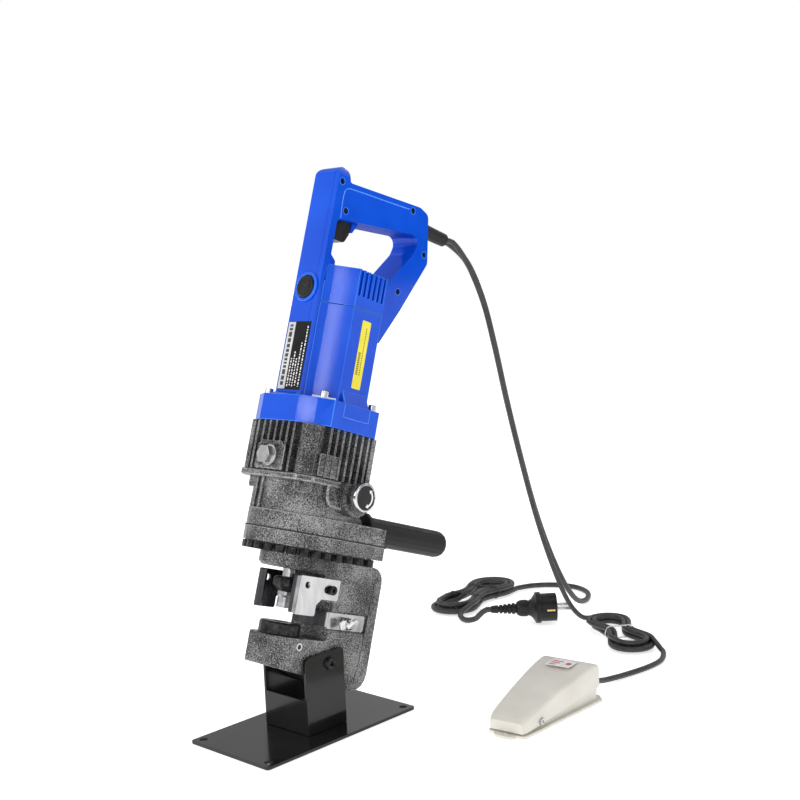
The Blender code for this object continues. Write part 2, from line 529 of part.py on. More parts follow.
def build_handle(tool):
    shell = make("handle_shell", prism(bmesh.new(), fillet(HANDLE), -HANDLE_HALF, COVER_SPLIT, "x"),
                 "blue_paint", tool)
    weld(shell, turned(bmesh.new(), [(0, -47.5), (14, -47.5), (15.5, -46), (15.5, -44), (0, -44)], "y",
                       (0, 0, BRUSH_Z), 24))
    carve(shell, prism(bmesh.new(), fillet(HOLLOW), WALL - HANDLE_HALF, COVER_SPLIT + 5, "x"))
    cuts = rod(bmesh.new(), 8.3, 75, 120, "y", (0, 0, SLEEVE_Z), 20)
    block(cuts, (-7.8, 7.8), (-36.4, -8.6), (424, 439))
    carve(shell, cuts)
    carve(shell, turned(bmesh.new(), [(0, -60), (11.6, -60), (11.6, -45.0), (7.3, -45.0), (7.3, -20),
                                      (0, -20)], "y", (0, 0, BRUSH_Z), 20))
    cover = make("handle_cover", prism(bmesh.new(), fillet(HANDLE), COVER_SPLIT + GAP, HANDLE_HALF, "x"),
                 "blue_paint", tool)
    carve(cover, rod(bmesh.new(), 15.9, -60, -30, "y", (0, 0, BRUSH_Z), 24))
    recess = bmesh.new()
    for y, z in HANDLE_SCREWS:
        rod(recess, 3.4, HANDLE_HALF - 3.2, HANDLE_HALF + 2, "x", (0, y, z), 12)
    carve(cover, recess)
    trigger = fillet([(-36, 410.5, 3), (-14, 411, 5), (-9, 421, 4), (-9, 436, 0), (-36, 436, 0)], 3)
    make("trigger", prism(bmesh.new(), trigger, -7.4, 7.4, "x"), "black_plastic", tool, origin=(0, -27, 421))
    make("switch_body", block(bmesh.new(), (-11, 8.5), (-34, 12), (442, 461)), "black_plastic", tool)
    sleeve = turned(bmesh.new(), [(0, 78), (9, 78), (9, 81), (8, 81), (8, 106), (7.6, 112), (7.2, SLEEVE_END),
                                  (0, SLEEVE_END)], "y", (0, 0, SLEEVE_Z), 20)
    make("cable_sleeve", sleeve, "rubber", tool)


def build_stand_bolts(tool):
    for side, hand in ((-1, "left"), (1, "right")):
        shape = [(0, 17), (4.0, 17), (4.0, BRACKET_HALF + GAP), (6.8, BRACKET_HALF + GAP),
                 (5.6, BRACKET_HALF + 3.4), (2.4, BRACKET_HALF + 3.4), (2.4, BRACKET_HALF + 1.4),
                 (0, BRACKET_HALF + 1.4)]
        bolt = turned(bmesh.new(), [(r, side * x) for r, x in shape], "x", (0, PIVOT_Y, 0), 16)
        make(f"stand_bolt_{hand}", bolt, "black_steel", tool)


# ---------------------------------------------------------------- foot switch
def pedal_half(y, inset=0.0):
    share = (y - PEDAL_FRONT) / (PEDAL_BACK - PEDAL_FRONT)
    return PEDAL_HALF_FRONT + (PEDAL_HALF_BACK - PEDAL_HALF_FRONT) * share - inset


def wedge(bm, low, high, inset, front_z, back_z, floor_front, floor_back):
    """Tapered wedge between y = low and high with a crowned top, narrower at the front."""
    steps = 6
    sections = []
    for k in range(steps + 1):
        share = k / steps
        y = low + (high - low) * share
        half = pedal_half(y, inset)
        top = front_z + (back_z - front_z) * (1 - (1 - share) ** 1.5)
        floor = floor_front + (floor_back - floor_front) * share
        sections.append([bm.verts.new(p) for p in ((-half, y, floor), (half, y, floor), (half, y, top),
                                                   (-half, y, top))])
    faces = [bm.faces.new(sections[0]), bm.faces.new(sections[-1])]
    for a, b in zip(sections, sections[1:]):
        faces += [bm.faces.new((a[i], a[(i + 1) % 4], b[(i + 1) % 4], b[i])) for i in range(4)]
    bmesh.ops.recalc_face_normals(bm, faces=faces)
    return bm


def build_foot_switch():
    frame = empty("foot_switch_frame", (*PEDAL_AT, 0), (0, 0, PEDAL_TURN))
    y, z = PEDAL_PIN
    ends = [pedal_half(PEDAL_FRONT), pedal_half(PEDAL_BACK)]
    flange = fillet([(-ends[0] - 1, PEDAL_FRONT - 1, 5), (ends[0] + 1, PEDAL_FRONT - 1, 5),
                     (ends[1] + 2, PEDAL_BACK + 2, 3), (-ends[1] - 2, PEDAL_BACK + 2, 3)], 3)
    base = make("foot_switch_base", prism(bmesh.new(), flange, 0, 2.6), "pedal_white", frame)
    tabs = prism(bmesh.new(), slot_outline((-6, PEDAL_FRONT - 2), (6, PEDAL_FRONT - 2), 6), 0.0, 2.6)
    prism(tabs, slot_outline((20, PEDAL_BACK + 3), (24, PEDAL_BACK + 3), 6), 0.0, 2.6)
    weld(base, tabs)
    walls = wedge(bmesh.new(), PEDAL_FRONT + 3.5, PEDAL_BACK - 3, 3.2, 11, 14, 1.0, 1.0)
    weld(base, walls)
    carve(base, wedge(bmesh.new(), PEDAL_FRONT + 6, PEDAL_BACK - 5.5, 5.4, 30, 30, 2.6, 2.6))
    holes = rod(bmesh.new(), 2.3, -60, 60, "x", (0, y, z), 12)
    rod(holes, 2.2, -1, 5, "z", (0, PEDAL_FRONT - 3.2, 0), 10)
    rod(holes, 2.2, -1, 5, "z", (24, PEDAL_BACK + 4.6, 0), 10)
    rod(holes, 4.8, PEDAL_BACK - 8, PEDAL_BACK + 8, "y", (12, 0, 9.4), 12)
    carve(base, holes)

    outer = wedge(bmesh.new(), PEDAL_FRONT, PEDAL_BACK, 0, PEDAL_NOSE_Z, PEDAL_BACK_Z, 3.2, 16)
    treadle = make("foot_switch_treadle", outer, "pedal_white", frame, origin=(0, y, z))
    carve(treadle, wedge(bmesh.new(), PEDAL_FRONT + 2.4, PEDAL_BACK - 2.4, 2.4, PEDAL_NOSE_Z - 2.2,
                         PEDAL_BACK_Z - 2.4, -6, -6))
    carve(treadle, rod(bmesh.new(), 2.3, -60, 60, "x", (0, y, z), 12))
    carve(treadle, block(bmesh.new(), (5, 19), (PEDAL_BACK - 6, PEDAL_BACK + 4), (-1, 24)))
    reach = pedal_half(y)
    pin = turned(bmesh.new(), [(0, -reach - 1.4), (3.4, -reach - 1.4), (3.4, -reach - GAP), (2, -reach - GAP),
                               (2, reach + GAP), (3.4, reach + GAP), (3.4, reach + 1.6), (1.4, reach + 1.6),
                               (1.4, reach + 0.8), (0, reach + 0.8)], "x", (0, y, z), 12)
    make("foot_switch_pin", pin, "steel", frame)
    make("foot_switch_microswitch", block(bmesh.new(), (-6, 6), (16, 36), (2.9, 19)), "black_plastic", frame)
    spring = turned(bmesh.new(), [(4.2, 2.9), (6.2, 2.9), (6.2, 26.5), (4.2, 26.5)], centre=(0, -2, 0), sides=12)
    make("foot_switch_spring", spring, "steel", frame)
    gland = turned(bmesh.new(), [(0, PEDAL_BACK - 9), (6.5, PEDAL_BACK - 9), (6.5, PEDAL_BACK - 5.8),
                                 (4.5, PEDAL_BACK - 5.8), (4.5, PEDAL_BACK + 3), (4.1, PEDAL_BACK + 14),
                                 (0, PEDAL_BACK + 14)], "y", (12, 0, 9.4), 12)
    make("foot_switch_gland", gland, "rubber", frame)
    return frame


# ---------------------------------------------------------------- leads
def smooth_route(points, spacing):
    """Points at even spacing on a Catmull-Rom curve through the route's own points."""
    route = [Vector(p) for p in points]
    route = [2 * route[0] - route[1]] + route + [2 * route[-1] - route[-2]]
    fine = []
    for a, b, c, d in zip(route, route[1:], route[2:], route[3:]):
        for k in range(24):
            t = k / 24
            fine.append(0.5 * (2 * b + (c - a) * t + (2 * a - 5 * b + 4 * c - d) * t ** 2
                               + (3 * b - a - 3 * c + d) * t ** 3))
    fine.append(route[-2])
    total = sum((q - p).length for p, q in zip(fine, fine[1:]))
    count = max(2, round(total / spacing))
    even, walked, target = [fine[0]], 0.0, total / count
    for p, q in zip(fine, fine[1:]):
        step = (q - p).length
        while walked + step >= target * len(even) - 1e-9 and len(even) < count:
            even.append(p.lerp(q, (target * len(even) - walked) / step))
        walked += step
    return even + [fine[-1]]


def lead(name, points, diameter):
    """Round lead drawn as a bevelled poly curve along its route."""
    curve = bpy.data.curves.new(name, "CURVE")
    curve.dimensions = "3D"
    curve.bevel_depth = diameter / 2 * MM
    curve.bevel_resolution = 2
    curve.use_fill_caps = True
    even = smooth_route(points, diameter * 3.4)
    spline = curve.splines.new("POLY")
    spline.points.add(len(even) - 1)
    for target, point in zip(spline.points, even):
        target.co = (*(point * MM), 1.0)
    made = bpy.data.objects.new(name, curve)
    bpy.context.scene.collection.objects.link(made)
    curve.materials.append(material("cord_rubber"))
    return made


def on_tool(x, y, z):
    """World place, in millimetres, of a point of the leaning tool's frame."""
    c, s = math.cos(LEAN), math.sin(LEAN)
    back = y - PIVOT_Y
    return (x, PIVOT[1] + back * c + z * s, PIVOT[2] - back * s + z * c)


def hank_half(hank, u):
    """Half width of a hank at distance u from its middle: narrow waist, full loops."""
    share = min(abs(u) / hank["c"], 1.0)
    return hank["r"] - hank["pinch"] * (1 - share * share * (3 - 2 * share))


def hank_outline(hank, diameter):
    side = [(hank["c"] * k / 6, hank_half(hank, hank["c"] * k / 6) + diameter / 2) for k in range(-6, 7)]
    loop_r = hank["r"] + diameter / 2
    turn = [(hank["c"] + loop_r * math.sin(math.pi * k / 10), loop_r * math.cos(math.pi * k / 10))
            for k in range(1, 10)]
    return side + turn + [(u, -v) for u, v in reversed(side)] + [(-u, -v) for u, v in turn]


def tie_ring(bm, hank, u, diameter, width, lift):
    half = hank_half(hank, u) + diameter / 2 + 0.9
    high = hank["high"] + lift
    outer = [(-half - 1, lift - 1.5), (half + 1, lift - 1.5), (half + 1, high + 1.5), (-half - 1, high + 1.5)]
    inner = [(-half, lift - 0.4), (half, lift - 0.4), (half, high + 0.5), (-half, high + 0.5)]
    rings = [[bm.verts.new((w, p[0], p[1])) for p in loop] for w in (u - width / 2, u + width / 2)
             for loop in (outer, inner)]
    faces = []
    for i in range(4):
        j = (i + 1) % 4
        for a, b in ((0, 2), (1, 3), (0, 1), (2, 3)):
            faces.append(bm.faces.new((rings[a][i], rings[a][j], rings[b][j], rings[b][i])))
    bmesh.ops.recalc_face_normals(bm, faces=faces)
    return bm


def build_hank(name, hank, diameter):
    frame = empty(name + "_frame", (*hank["at"], 0), (0, 0, hank["turn"]))
    made = prism(bmesh.new(), hank_outline(hank, diameter), LIFT, LIFT + hank["high"])
    make(name, made, "cord_rubber", frame)
    return frame


MAINS_DROP = [on_tool(MAINS_X, SLEEVE_END + 0.5, SLEEVE_Z), on_tool(MAINS_X, SLEEVE_END + 18, SLEEVE_Z),
              (-4, 283, 452), (-5, 309, 410), (-6, 329, 355), (-8, 350, 290), (-10, 375, 220),
              (-13, 404, 150), (-16, 436, 90), (-20, 470, 42), (-25, 503, 12), (-32, 534, 3.7),
              (-50, 564, 3.7), (-80, 580, 3.7), (-112, 575, 3.7), (-134, 554, 4.2), (-141.8, 527.2, 5.3)]
MAINS_TAIL = [(-122.6, 391.2, 5.3), (-121.5, 383, 4.8), (-114, 375, 3.9), (-100, 368.8, 4.2), (-86, 370.2, 8),
              (-79, 373.2, 15.5), (-74.4, 377.4, 19.5), (-69.1, 382.4, 19.7)]
FOOT_DROP = [on_tool(FOOT_X, SLEEVE_END + 0.5, SLEEVE_Z), on_tool(FOOT_X, SLEEVE_END + 16, SLEEVE_Z),
             (4, 276, 448), (4.5, 300, 402), (5, 318, 345), (6, 336, 280), (8, 356, 210), (11, 378, 140),
             (14, 402, 80), (16.5, 426, 34), (18.5, 450, 9), (23, 470, 3.3), (40, 483, 3.3), (58.8, 478.6, 4.6)]
FOOT_TAIL = [(153, 408.2, 4.6), (170, 394, 3.4), (181, 370, 3.3), (182, 340, 3.3), (176, 305, 3.3),
             (172.3, 274, 5.5), (172.9, 257, 8.8), (174.5, 241.6, 9.4)]


def build_leads():
    build_hank("power_cord_hank", MAINS_HANK, MAINS_D)
    frame = build_hank("foot_cord_hank", FOOT_HANK, FOOT_D)
    make("foot_cord_tie", tie_ring(bmesh.new(), FOOT_HANK, 0, FOOT_D, 4.0, LIFT), "white_tie", frame)
    lead("power_cord", MAINS_DROP, MAINS_D)
    lead("power_cord_tail", MAINS_TAIL, MAINS_D)
    lead("foot_cord", FOOT_DROP, FOOT_D)
    lead("foot_cord_tail", FOOT_TAIL, FOOT_D)


def build_plug():
    frame = empty("plug_frame", (*PLUG_AT, PLUG_R + 0.2), (0, 0, PLUG_TURN))
    body = turned(bmesh.new(), [(0, -64), (4.4, -64), (5.6, -34), (9, -30), (11, -22), (13, -16),
                                (18, -12), (PLUG_R, -10), (PLUG_R, -6), (17.4, -5.6), (17.4, 14), (0, 14)],
                  "x", (0, 0, 0), 16)
    plug = make("plug_body", body, "black_plastic", frame)
    pins = bmesh.new()
    for side in (-1, 1):
        turned(pins, [(0, 8.6), (2.3, 8.6), (2.3, 31), (1.2, 33), (0, 33)], "x", (0, side * 9.5, 0), 10)
    weld(plug, pins)


build_stand()
TILT = empty("tilt_axis", PIVOT, (-LEAN, 0.0, 0.0))
TOOL = bpy.data.objects.new("tool_frame", None)
TOOL.parent = TILT
TOOL.location = (0.0, -PIVOT_Y * MM, 0.0)
bpy.context.scene.collection.objects.link(TOOL)
build_c_frame(TOOL)
build_die_set(TOOL)
build_backstop(TOOL)
build_ring_bolts(TOOL)
build_ram(TOOL)
build_pump(TOOL)
build_knob_and_grip(TOOL)
build_motor(TOOL)
build_handle(TOOL)
build_stand_bolts(TOOL)
build_foot_switch()
build_leads()
build_plug()
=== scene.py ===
"""Looks for the hydraulic hole punching machine: pieces, materials, light and camera.

Lengths are millimetres and become metres in piece(). The tool's pieces are drawn upright in the tool's
own frame and laid back onto the stand by TOOL. The foot switch, plug and hanks have frames too.
"""
from math import atan2, copysign, cos, pi, radians, sin, sqrt, tan, tau

import bmesh
import bpy
from mathutils import Matrix, Vector


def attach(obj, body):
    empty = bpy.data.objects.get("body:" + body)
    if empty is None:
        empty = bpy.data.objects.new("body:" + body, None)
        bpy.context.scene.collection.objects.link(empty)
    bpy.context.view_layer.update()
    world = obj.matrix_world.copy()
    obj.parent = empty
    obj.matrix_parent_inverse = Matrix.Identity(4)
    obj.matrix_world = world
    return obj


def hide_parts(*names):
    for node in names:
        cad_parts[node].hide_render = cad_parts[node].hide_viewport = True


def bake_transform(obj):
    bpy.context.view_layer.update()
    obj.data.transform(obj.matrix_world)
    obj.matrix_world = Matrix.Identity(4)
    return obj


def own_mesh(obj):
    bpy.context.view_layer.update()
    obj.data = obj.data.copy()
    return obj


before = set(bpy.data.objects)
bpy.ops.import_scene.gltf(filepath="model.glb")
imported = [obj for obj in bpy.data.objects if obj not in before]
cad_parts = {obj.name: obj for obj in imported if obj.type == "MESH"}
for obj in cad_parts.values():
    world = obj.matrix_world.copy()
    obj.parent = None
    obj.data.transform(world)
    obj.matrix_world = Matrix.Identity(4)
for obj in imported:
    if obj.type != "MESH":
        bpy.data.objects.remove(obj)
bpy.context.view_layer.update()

MM = 0.001
LEAN = radians(18.0)
PIVOT, PIVOT_Y = (0.0, 7.0, 68.0), 45.0
HANDS = ((-1, "left"), (1, "right"))
SAME_POINT = 0.00002


def placed(at, turn_z=0.0):
    """A frame that stands at a point, in millimetres, turned about the vertical."""
    return Matrix.Translation(Vector(at) * MM) @ Matrix.Rotation(turn_z, 4, "Z")


def show(obj):
    bpy.context.scene.collection.objects.link(obj)
    return obj


WORLD = Matrix.Identity(4)
TOOL = (Matrix.Translation(Vector(PIVOT) * MM) @ Matrix.Rotation(-LEAN, 4, "X")
        @ Matrix.Translation((0.0, -PIVOT_Y * MM, 0.0)))
PEDAL = placed((171.0, 160.0, 0.0), radians(6.0))
PLUG_R = 19.5
PLUG = placed((-20.4, 427.8, PLUG_R + 0.2), radians(43.0))

# ---- camera
EYE = Vector((0.9116, -0.8129, 0.4470))
AZIMUTH, DOWN, ROLL = radians(43.2), radians(5.86), radians(-2.55)
SENSOR_WIDTH, LENS, NEAR_CLIP = 36.0, 56.63, 0.01


def build_camera():
    forward = Vector((-sin(AZIMUTH) * cos(DOWN), cos(AZIMUTH) * cos(DOWN),
                      -sin(DOWN)))
    level = Vector((cos(AZIMUTH), sin(AZIMUTH), 0.0))
    upright = level.cross(forward)
    right = level * cos(ROLL) + upright * sin(ROLL)
    up = upright * cos(ROLL) - level * sin(ROLL)
    turn = Matrix((right, up, -forward)).transposed().to_4x4()
    data = bpy.data.cameras.new("camera")
    data.sensor_width = SENSOR_WIDTH
    data.lens = LENS
    data.clip_start = NEAR_CLIP
    camera = show(bpy.data.objects.new("camera", data))
    camera.matrix_world = Matrix.Translation(EYE) @ turn
    bpy.context.scene.camera = camera


# ---- materials
def shader_nodes(name):
    made = bpy.data.materials.new(name)
    made.use_nodes = True
    tree = made.node_tree
    shader = tree.nodes["Principled BSDF"]
    where = tree.nodes.new("ShaderNodeTexCoord")
    return made, tree, shader, where.outputs["Object"]


def noise(tree, where, scale, detail=3.0, roughness=0.55, stretch=(1.0, 1.0, 1.0), turn=(0.0, 0.0, 0.0)):
    mapping = tree.nodes.new("ShaderNodeMapping")
    mapping.inputs["Scale"].default_value = stretch
    mapping.inputs["Rotation"].default_value = turn
    tree.links.new(where, mapping.inputs["Vector"])
    made = tree.nodes.new("ShaderNodeTexNoise")
    made.inputs["Scale"].default_value = scale
    made.inputs["Detail"].default_value = detail
    made.inputs["Roughness"].default_value = roughness
    tree.links.new(mapping.outputs["Vector"], made.inputs["Vector"])
    return made.outputs["Fac"]


def ramp(tree, source, stops):
    made = tree.nodes.new("ShaderNodeValToRGB")
    while len(made.color_ramp.elements) < len(stops):
        made.color_ramp.elements.new(0.5)
    for element, (at, colour) in zip(made.color_ramp.elements, stops):
        element.position = at
        element.color = (*colour, 1.0)
    tree.links.new(source, made.inputs["Fac"])
    return made.outputs["Color"]


def spread(tree, source, low, high):
    made = tree.nodes.new("ShaderNodeMapRange")
    made.inputs["From Min"].default_value = 0.3
    made.inputs["From Max"].default_value = 0.7
    made.inputs["To Min"].default_value = low
    made.inputs["To Max"].default_value = high
    tree.links.new(source, made.inputs["Value"])
    return made.outputs["Result"]


def bump(tree, shader, source, strength, distance):
    made = tree.nodes.new("ShaderNodeBump")
    made.inputs["Strength"].default_value = strength
    made.inputs["Distance"].default_value = distance
    tree.links.new(source, made.inputs["Height"])
    tree.links.new(made.outputs["Normal"], shader.inputs["Normal"])


def surface(name, dark, light, scale, rough, metal=0.0, grain=(900.0, 0.1, 0.0002), stretch=(1.0, 1.0, 1.0),
            turn=(0.0, 0.0, 0.0), coat=0.0, edges=(0.35, 0.65), specular=0.5):
    """Colour that wanders between two tones, roughness that follows it, and a fine raised grain."""
    made, tree, shader, where = shader_nodes(name)
    wander = noise(tree, where, scale, stretch=stretch, turn=turn)
    tree.links.new(ramp(tree, wander, [(edges[0], dark), (edges[1], light)]), shader.inputs["Base Color"])
    tree.links.new(spread(tree, wander, *rough), shader.inputs["Roughness"])
    shader.inputs["Metallic"].default_value = metal
    shader.inputs["Coat Weight"].default_value = coat
    shader.inputs["Coat Roughness"].default_value = 0.08
    shader.inputs["Specular IOR Level"].default_value = specular
    bump(tree, shader, noise(tree, where, grain[0], stretch=stretch, turn=turn), grain[1], grain[2])
    return made


def hammered(name):
    """Casting under hammer paint: fine light and dark flecks over slow cloudy patches."""
    made, tree, shader, where = shader_nodes(name)
    flecks = noise(tree, where, 900.0, 2.0, 0.75)
    clouds = noise(tree, where, 26.0, 2.0, 0.5)
    mixed = tree.nodes.new("ShaderNodeMath")
    mixed.operation = "MULTIPLY_ADD"
    mixed.inputs[1].default_value = 0.42
    tree.links.new(clouds, mixed.inputs[0])
    tree.links.new(flecks, mixed.inputs[2])
    tone = ramp(tree, mixed.outputs["Value"], [(0.58, (0.014, 0.014, 0.015)), (0.70, (0.07, 0.07, 0.071)),
                                               (0.85, (0.36, 0.36, 0.36))])
    tree.links.new(tone, shader.inputs["Base Color"])
    tree.links.new(spread(tree, flecks, 0.26, 0.48), shader.inputs["Roughness"])
    shader.inputs["Metallic"].default_value = 0.6
    bump(tree, shader, flecks, 0.55, 0.0006)
    return made


def zinc(name):
    return surface(name, (0.44, 0.44, 0.45), (0.62, 0.62, 0.62), 90.0, (0.22, 0.36), 1.0,
                   (500.0, 0.12, 0.0002), (1.0, 1.0, 0.25))


def zinc_with_painted_shade(name, edge):
    """Bright zinc beyond x = edge, in metres, and zinc darkened on the other side of it: painted shade."""
    made = zinc(name)
    tree = made.node_tree
    shader = tree.nodes["Principled BSDF"]
    bright = shader.inputs["Base Color"].links[0].from_socket
    parts = tree.nodes.new("ShaderNodeSeparateXYZ")
    tree.links.new(tree.nodes["Texture Coordinate"].outputs["Object"], parts.inputs["Vector"])
    in_shade = tree.nodes.new("ShaderNodeMath")
    in_shade.operation = "LESS_THAN"
    in_shade.inputs[1].default_value = edge
    tree.links.new(parts.outputs["X"], in_shade.inputs[0])
    mix = tree.nodes.new("ShaderNodeMix")
    mix.data_type = "RGBA"
    mix.blend_type = "MULTIPLY"
    tree.links.new(in_shade.outputs["Value"], mix.inputs["Factor"])
    tree.links.new(bright, mix.inputs["A"])
    # the darkening multiplier: painted shade
    mix.inputs["B"].default_value = (0.19, 0.19, 0.20, 1.0)
    tree.links.new(mix.outputs["Result"], shader.inputs["Base Color"])
    return made


def ribbed(name):
    """Off-white moulded plastic with a fine cross rib and a light grain."""
    made, tree, shader, where = shader_nodes(name)
    wander = noise(tree, where, 30.0)
    tree.links.new(ramp(tree, wander, [(0.3, (0.66, 0.63, 0.56)), (0.7, (0.74, 0.715, 0.65))]),
                   shader.inputs["Base Color"])
    tree.links.new(spread(tree, wander, 0.36, 0.5), shader.inputs["Roughness"])
    mapping = tree.nodes.new("ShaderNodeMapping")
    mapping.inputs["Rotation"].default_value = (0.0, 0.0, radians(-6.0))
    tree.links.new(where, mapping.inputs["Vector"])
    bands = tree.nodes.new("ShaderNodeTexWave")
    bands.bands_direction = "Y"
    bands.inputs["Scale"].default_value = 110.0
    bands.inputs["Distortion"].default_value = 0.3
    bands.inputs["Detail"].default_value = 1.0
    tree.links.new(mapping.outputs["Vector"], bands.inputs["Vector"])
    bump(tree, shader, bands.outputs["Fac"], 0.22, 0.0004)
    return made


# zinc with x below this, in metres, is darkened as painted shade
SHADE_EDGE = 0.0252
MAT = {
    "blue": surface("blue_paint", (0.002, 0.066, 0.58), (0.003, 0.085, 0.68), 18.0, (0.05, 0.09),
                    grain=(1400.0, 0.02, 0.0002), coat=0.12, specular=0.22),
    # lighter blue for bevels, screw rims and fine lines: painted highlight
    "blue_light": surface("blue_paint_highlight", (0.02, 0.20, 0.88), (0.035, 0.25, 0.95), 18.0, (0.16, 0.24),
                          grain=(1400.0, 0.05, 0.0002), coat=0.3),
    # darker, rougher blue for the grip's underside: a dull finish plus painted shade
    "blue_grip_shade": surface("blue_paint_grip_shade", (0.002, 0.045, 0.40), (0.003, 0.060, 0.48), 18.0, (0.5, 0.6),
                         grain=(1400.0, 0.1, 0.0002), specular=0.08),
    # lighter grey for casting bevels and fine lines: painted highlight
    "cast_edge": surface("hammered_highlight", (0.12, 0.12, 0.12), (0.42, 0.42, 0.42), 700.0, (0.3, 0.5), 0.3,
                         (620.0, 0.5, 0.0005), edges=(0.42, 0.62)),
    "seam": surface("seam_shadow", (0.004, 0.01, 0.05), (0.006, 0.016, 0.08), 60.0, (0.5, 0.6)),
    "cast": hammered("hammered_casting"),
    "pit": surface("casting_shadow", (0.006, 0.006, 0.006), (0.018, 0.018, 0.018), 300.0, (0.5, 0.7),
                   grain=(600.0, 0.4, 0.0005)),
    "gloss": surface("black_gloss_paint", (0.006, 0.006, 0.0065), (0.012, 0.012, 0.013), 12.0, (0.10, 0.2),
                     grain=(700.0, 0.04, 0.0002), coat=0.1, specular=0.3),
    "black_steel": surface("blackened_steel", (0.012, 0.012, 0.013), (0.05, 0.05, 0.052), 220.0, (0.28, 0.5),
                           0.85, (800.0, 0.2, 0.0002)),
    # zinc darkened below the x edge: painted shade
    "zinc_guard": zinc_with_painted_shade("zinc_plate_painted_shade", SHADE_EDGE),
    "zinc": zinc("zinc_plate"),
    "chrome": surface("polished_chrome", (0.50, 0.50, 0.51), (0.66, 0.66, 0.67), 60.0, (0.06, 0.14), 1.0,
                      (700.0, 0.04, 0.0001)),
    "steel": surface("ground_steel", (0.34, 0.34, 0.35), (0.52, 0.52, 0.53), 140.0, (0.22, 0.38), 1.0,
                     (600.0, 0.12, 0.0001), (0.3, 0.3, 1.0)),
    "rubber": surface("moulded_rubber", (0.008, 0.008, 0.008), (0.016, 0.016, 0.017), 80.0, (0.42, 0.6),
                      grain=(900.0, 0.3, 0.0003), specular=0.25),
    "cord": surface("cord_sheath", (0.018, 0.018, 0.019), (0.040, 0.040, 0.041), 120.0, (0.36, 0.52),
                    grain=(1200.0, 0.2, 0.0002)),
    "plastic": surface("black_plastic", (0.008, 0.008, 0.009), (0.017, 0.017, 0.018), 90.0, (0.26, 0.42),
                       grain=(1500.0, 0.2, 0.0002), specular=0.25),
    "pedal": ribbed("pedal_plastic"),
    "copper": surface("copper_winding", (0.5, 0.22, 0.1), (0.75, 0.36, 0.18), 200.0, (0.3, 0.45), 1.0),
    "carbon": surface("carbon_block", (0.02, 0.02, 0.02), (0.05, 0.05, 0.05), 400.0, (0.6, 0.8)),
    "white_tie": surface("white_tie", (0.7, 0.7, 0.69), (0.82, 0.82, 0.8), 100.0, (0.35, 0.5)),
    "label_black": surface("label_black", (0.006, 0.006, 0.007), (0.012, 0.012, 0.013), 60.0, (0.25, 0.35),
                           specular=0.15),
    "label_silver": surface("label_silver", (0.55, 0.56, 0.58), (0.68, 0.69, 0.7), 60.0, (0.3, 0.42), 0.3),
    "label_yellow": surface("label_yellow", (0.80, 0.68, 0.03), (0.88, 0.77, 0.06), 50.0, (0.3, 0.42)),
    "print_white": surface("print_white", (0.78, 0.78, 0.77), (0.88, 0.88, 0.87), 90.0, (0.4, 0.55)),
    "print_dark": surface("print_dark", (0.02, 0.02, 0.015), (0.05, 0.045, 0.03), 90.0, (0.4, 0.55)),
    "print_red": surface("print_red", (0.5, 0.03, 0.02), (0.62, 0.05, 0.03), 90.0, (0.4, 0.55)),
    "brass": surface("brass_clip", (0.62, 0.42, 0.14), (0.78, 0.56, 0.22), 120.0, (0.2, 0.35), 1.0),
}
# lighter materials for bevel faces: painted highlights on the edges
HIGHLIGHT_OF = {"blue": "blue_light", "cast": "cast_edge"}


# ---- shape helpers
def fillet(corners, steps=6):
    """Closed outline through (u, v, radius) corners, each corner rounded by an arc."""
    outline = []
    for i, (u, v, radius) in enumerate(corners):
        here = Vector((u, v))
        if radius <= 0:
            outline.append((u, v))
            continue
        before = (Vector(corners[i - 1][:2]) - here).normalized()
        after = (Vector(corners[(i + 1) % len(corners)][:2]) - here).normalized()
        half = before.angle(after) / 2
        centre = here + (before + after).normalized() * (radius / sin(half))
        start = here + before * (radius / tan(half)) - centre
        end = here + after * (radius / tan(half)) - centre
        sweep = atan2(start.x * end.y - start.y * end.x, start.dot(end))
        for k in range(steps + 1):
            turned_by = sweep * k / steps
            c, s = cos(turned_by), sin(turned_by)
            outline.append((centre.x + start.x * c - start.y * s, centre.y + start.x * s + start.y * c))
    return outline


def place(axis, u, v, w):
    return {"x": (w, u, v), "y": (u, w, v), "z": (u, v, w)}[axis]


def prism(bm, outline, low, high, axis="z"):
    """Closed prism of an outline: (y, z) along x, (x, z) along y or (x, y) along z."""
    rings = [[bm.verts.new(place(axis, p[0], p[1], w)) for p in outline] for w in (low, high)]
    faces = [bm.faces.new(ring) for ring in rings]
    for i in range(len(outline)):
        j = (i + 1) % len(outline)
        faces.append(bm.faces.new((rings[0][i], rings[0][j], rings[1][j], rings[1][i])))
    bmesh.ops.recalc_face_normals(bm, faces=faces)
    return bm


def block(bm, x, y, z):
    return prism(bm, [(x[0], y[0]), (x[1], y[0]), (x[1], y[1]), (x[0], y[1])], z[0], z[1])


def turned(bm, profile, axis="z", centre=(0.0, 0.0, 0.0), sides=32):
    """Closed solid of revolution of (radius, height) points; it is a ring if no radius is 0."""
    base = Vector(centre)
    rings = []
    for radius, height in profile:
        if radius == 0:
            rings.append([bm.verts.new(Vector(place(axis, 0, 0, height)) + base)])
            continue
        angles = [tau * k / sides for k in range(sides)]
        ring = [Vector(place(axis, radius * cos(a), radius * sin(a), height)) for a in angles]
        rings.append([bm.verts.new(p + base) for p in ring])
    if profile[0][0] > 0:
        rings.append(rings[0])
    faces = []
    for a, b in zip(rings, rings[1:]):
        for k in range(sides):
            m = (k + 1) % sides
            quad = [a[k % len(a)], a[m % len(a)], b[m % len(b)], b[k % len(b)]]
            corners = list(dict.fromkeys(quad))
            if len(corners) > 2:
                faces.append(bm.faces.new(corners))
    bmesh.ops.recalc_face_normals(bm, faces=faces)
    return bm


def rod(bm, radius, low, high, axis, centre, sides=48):
    return turned(bm, [(0, low), (radius, low), (radius, high), (0, high)], axis, centre, sides)


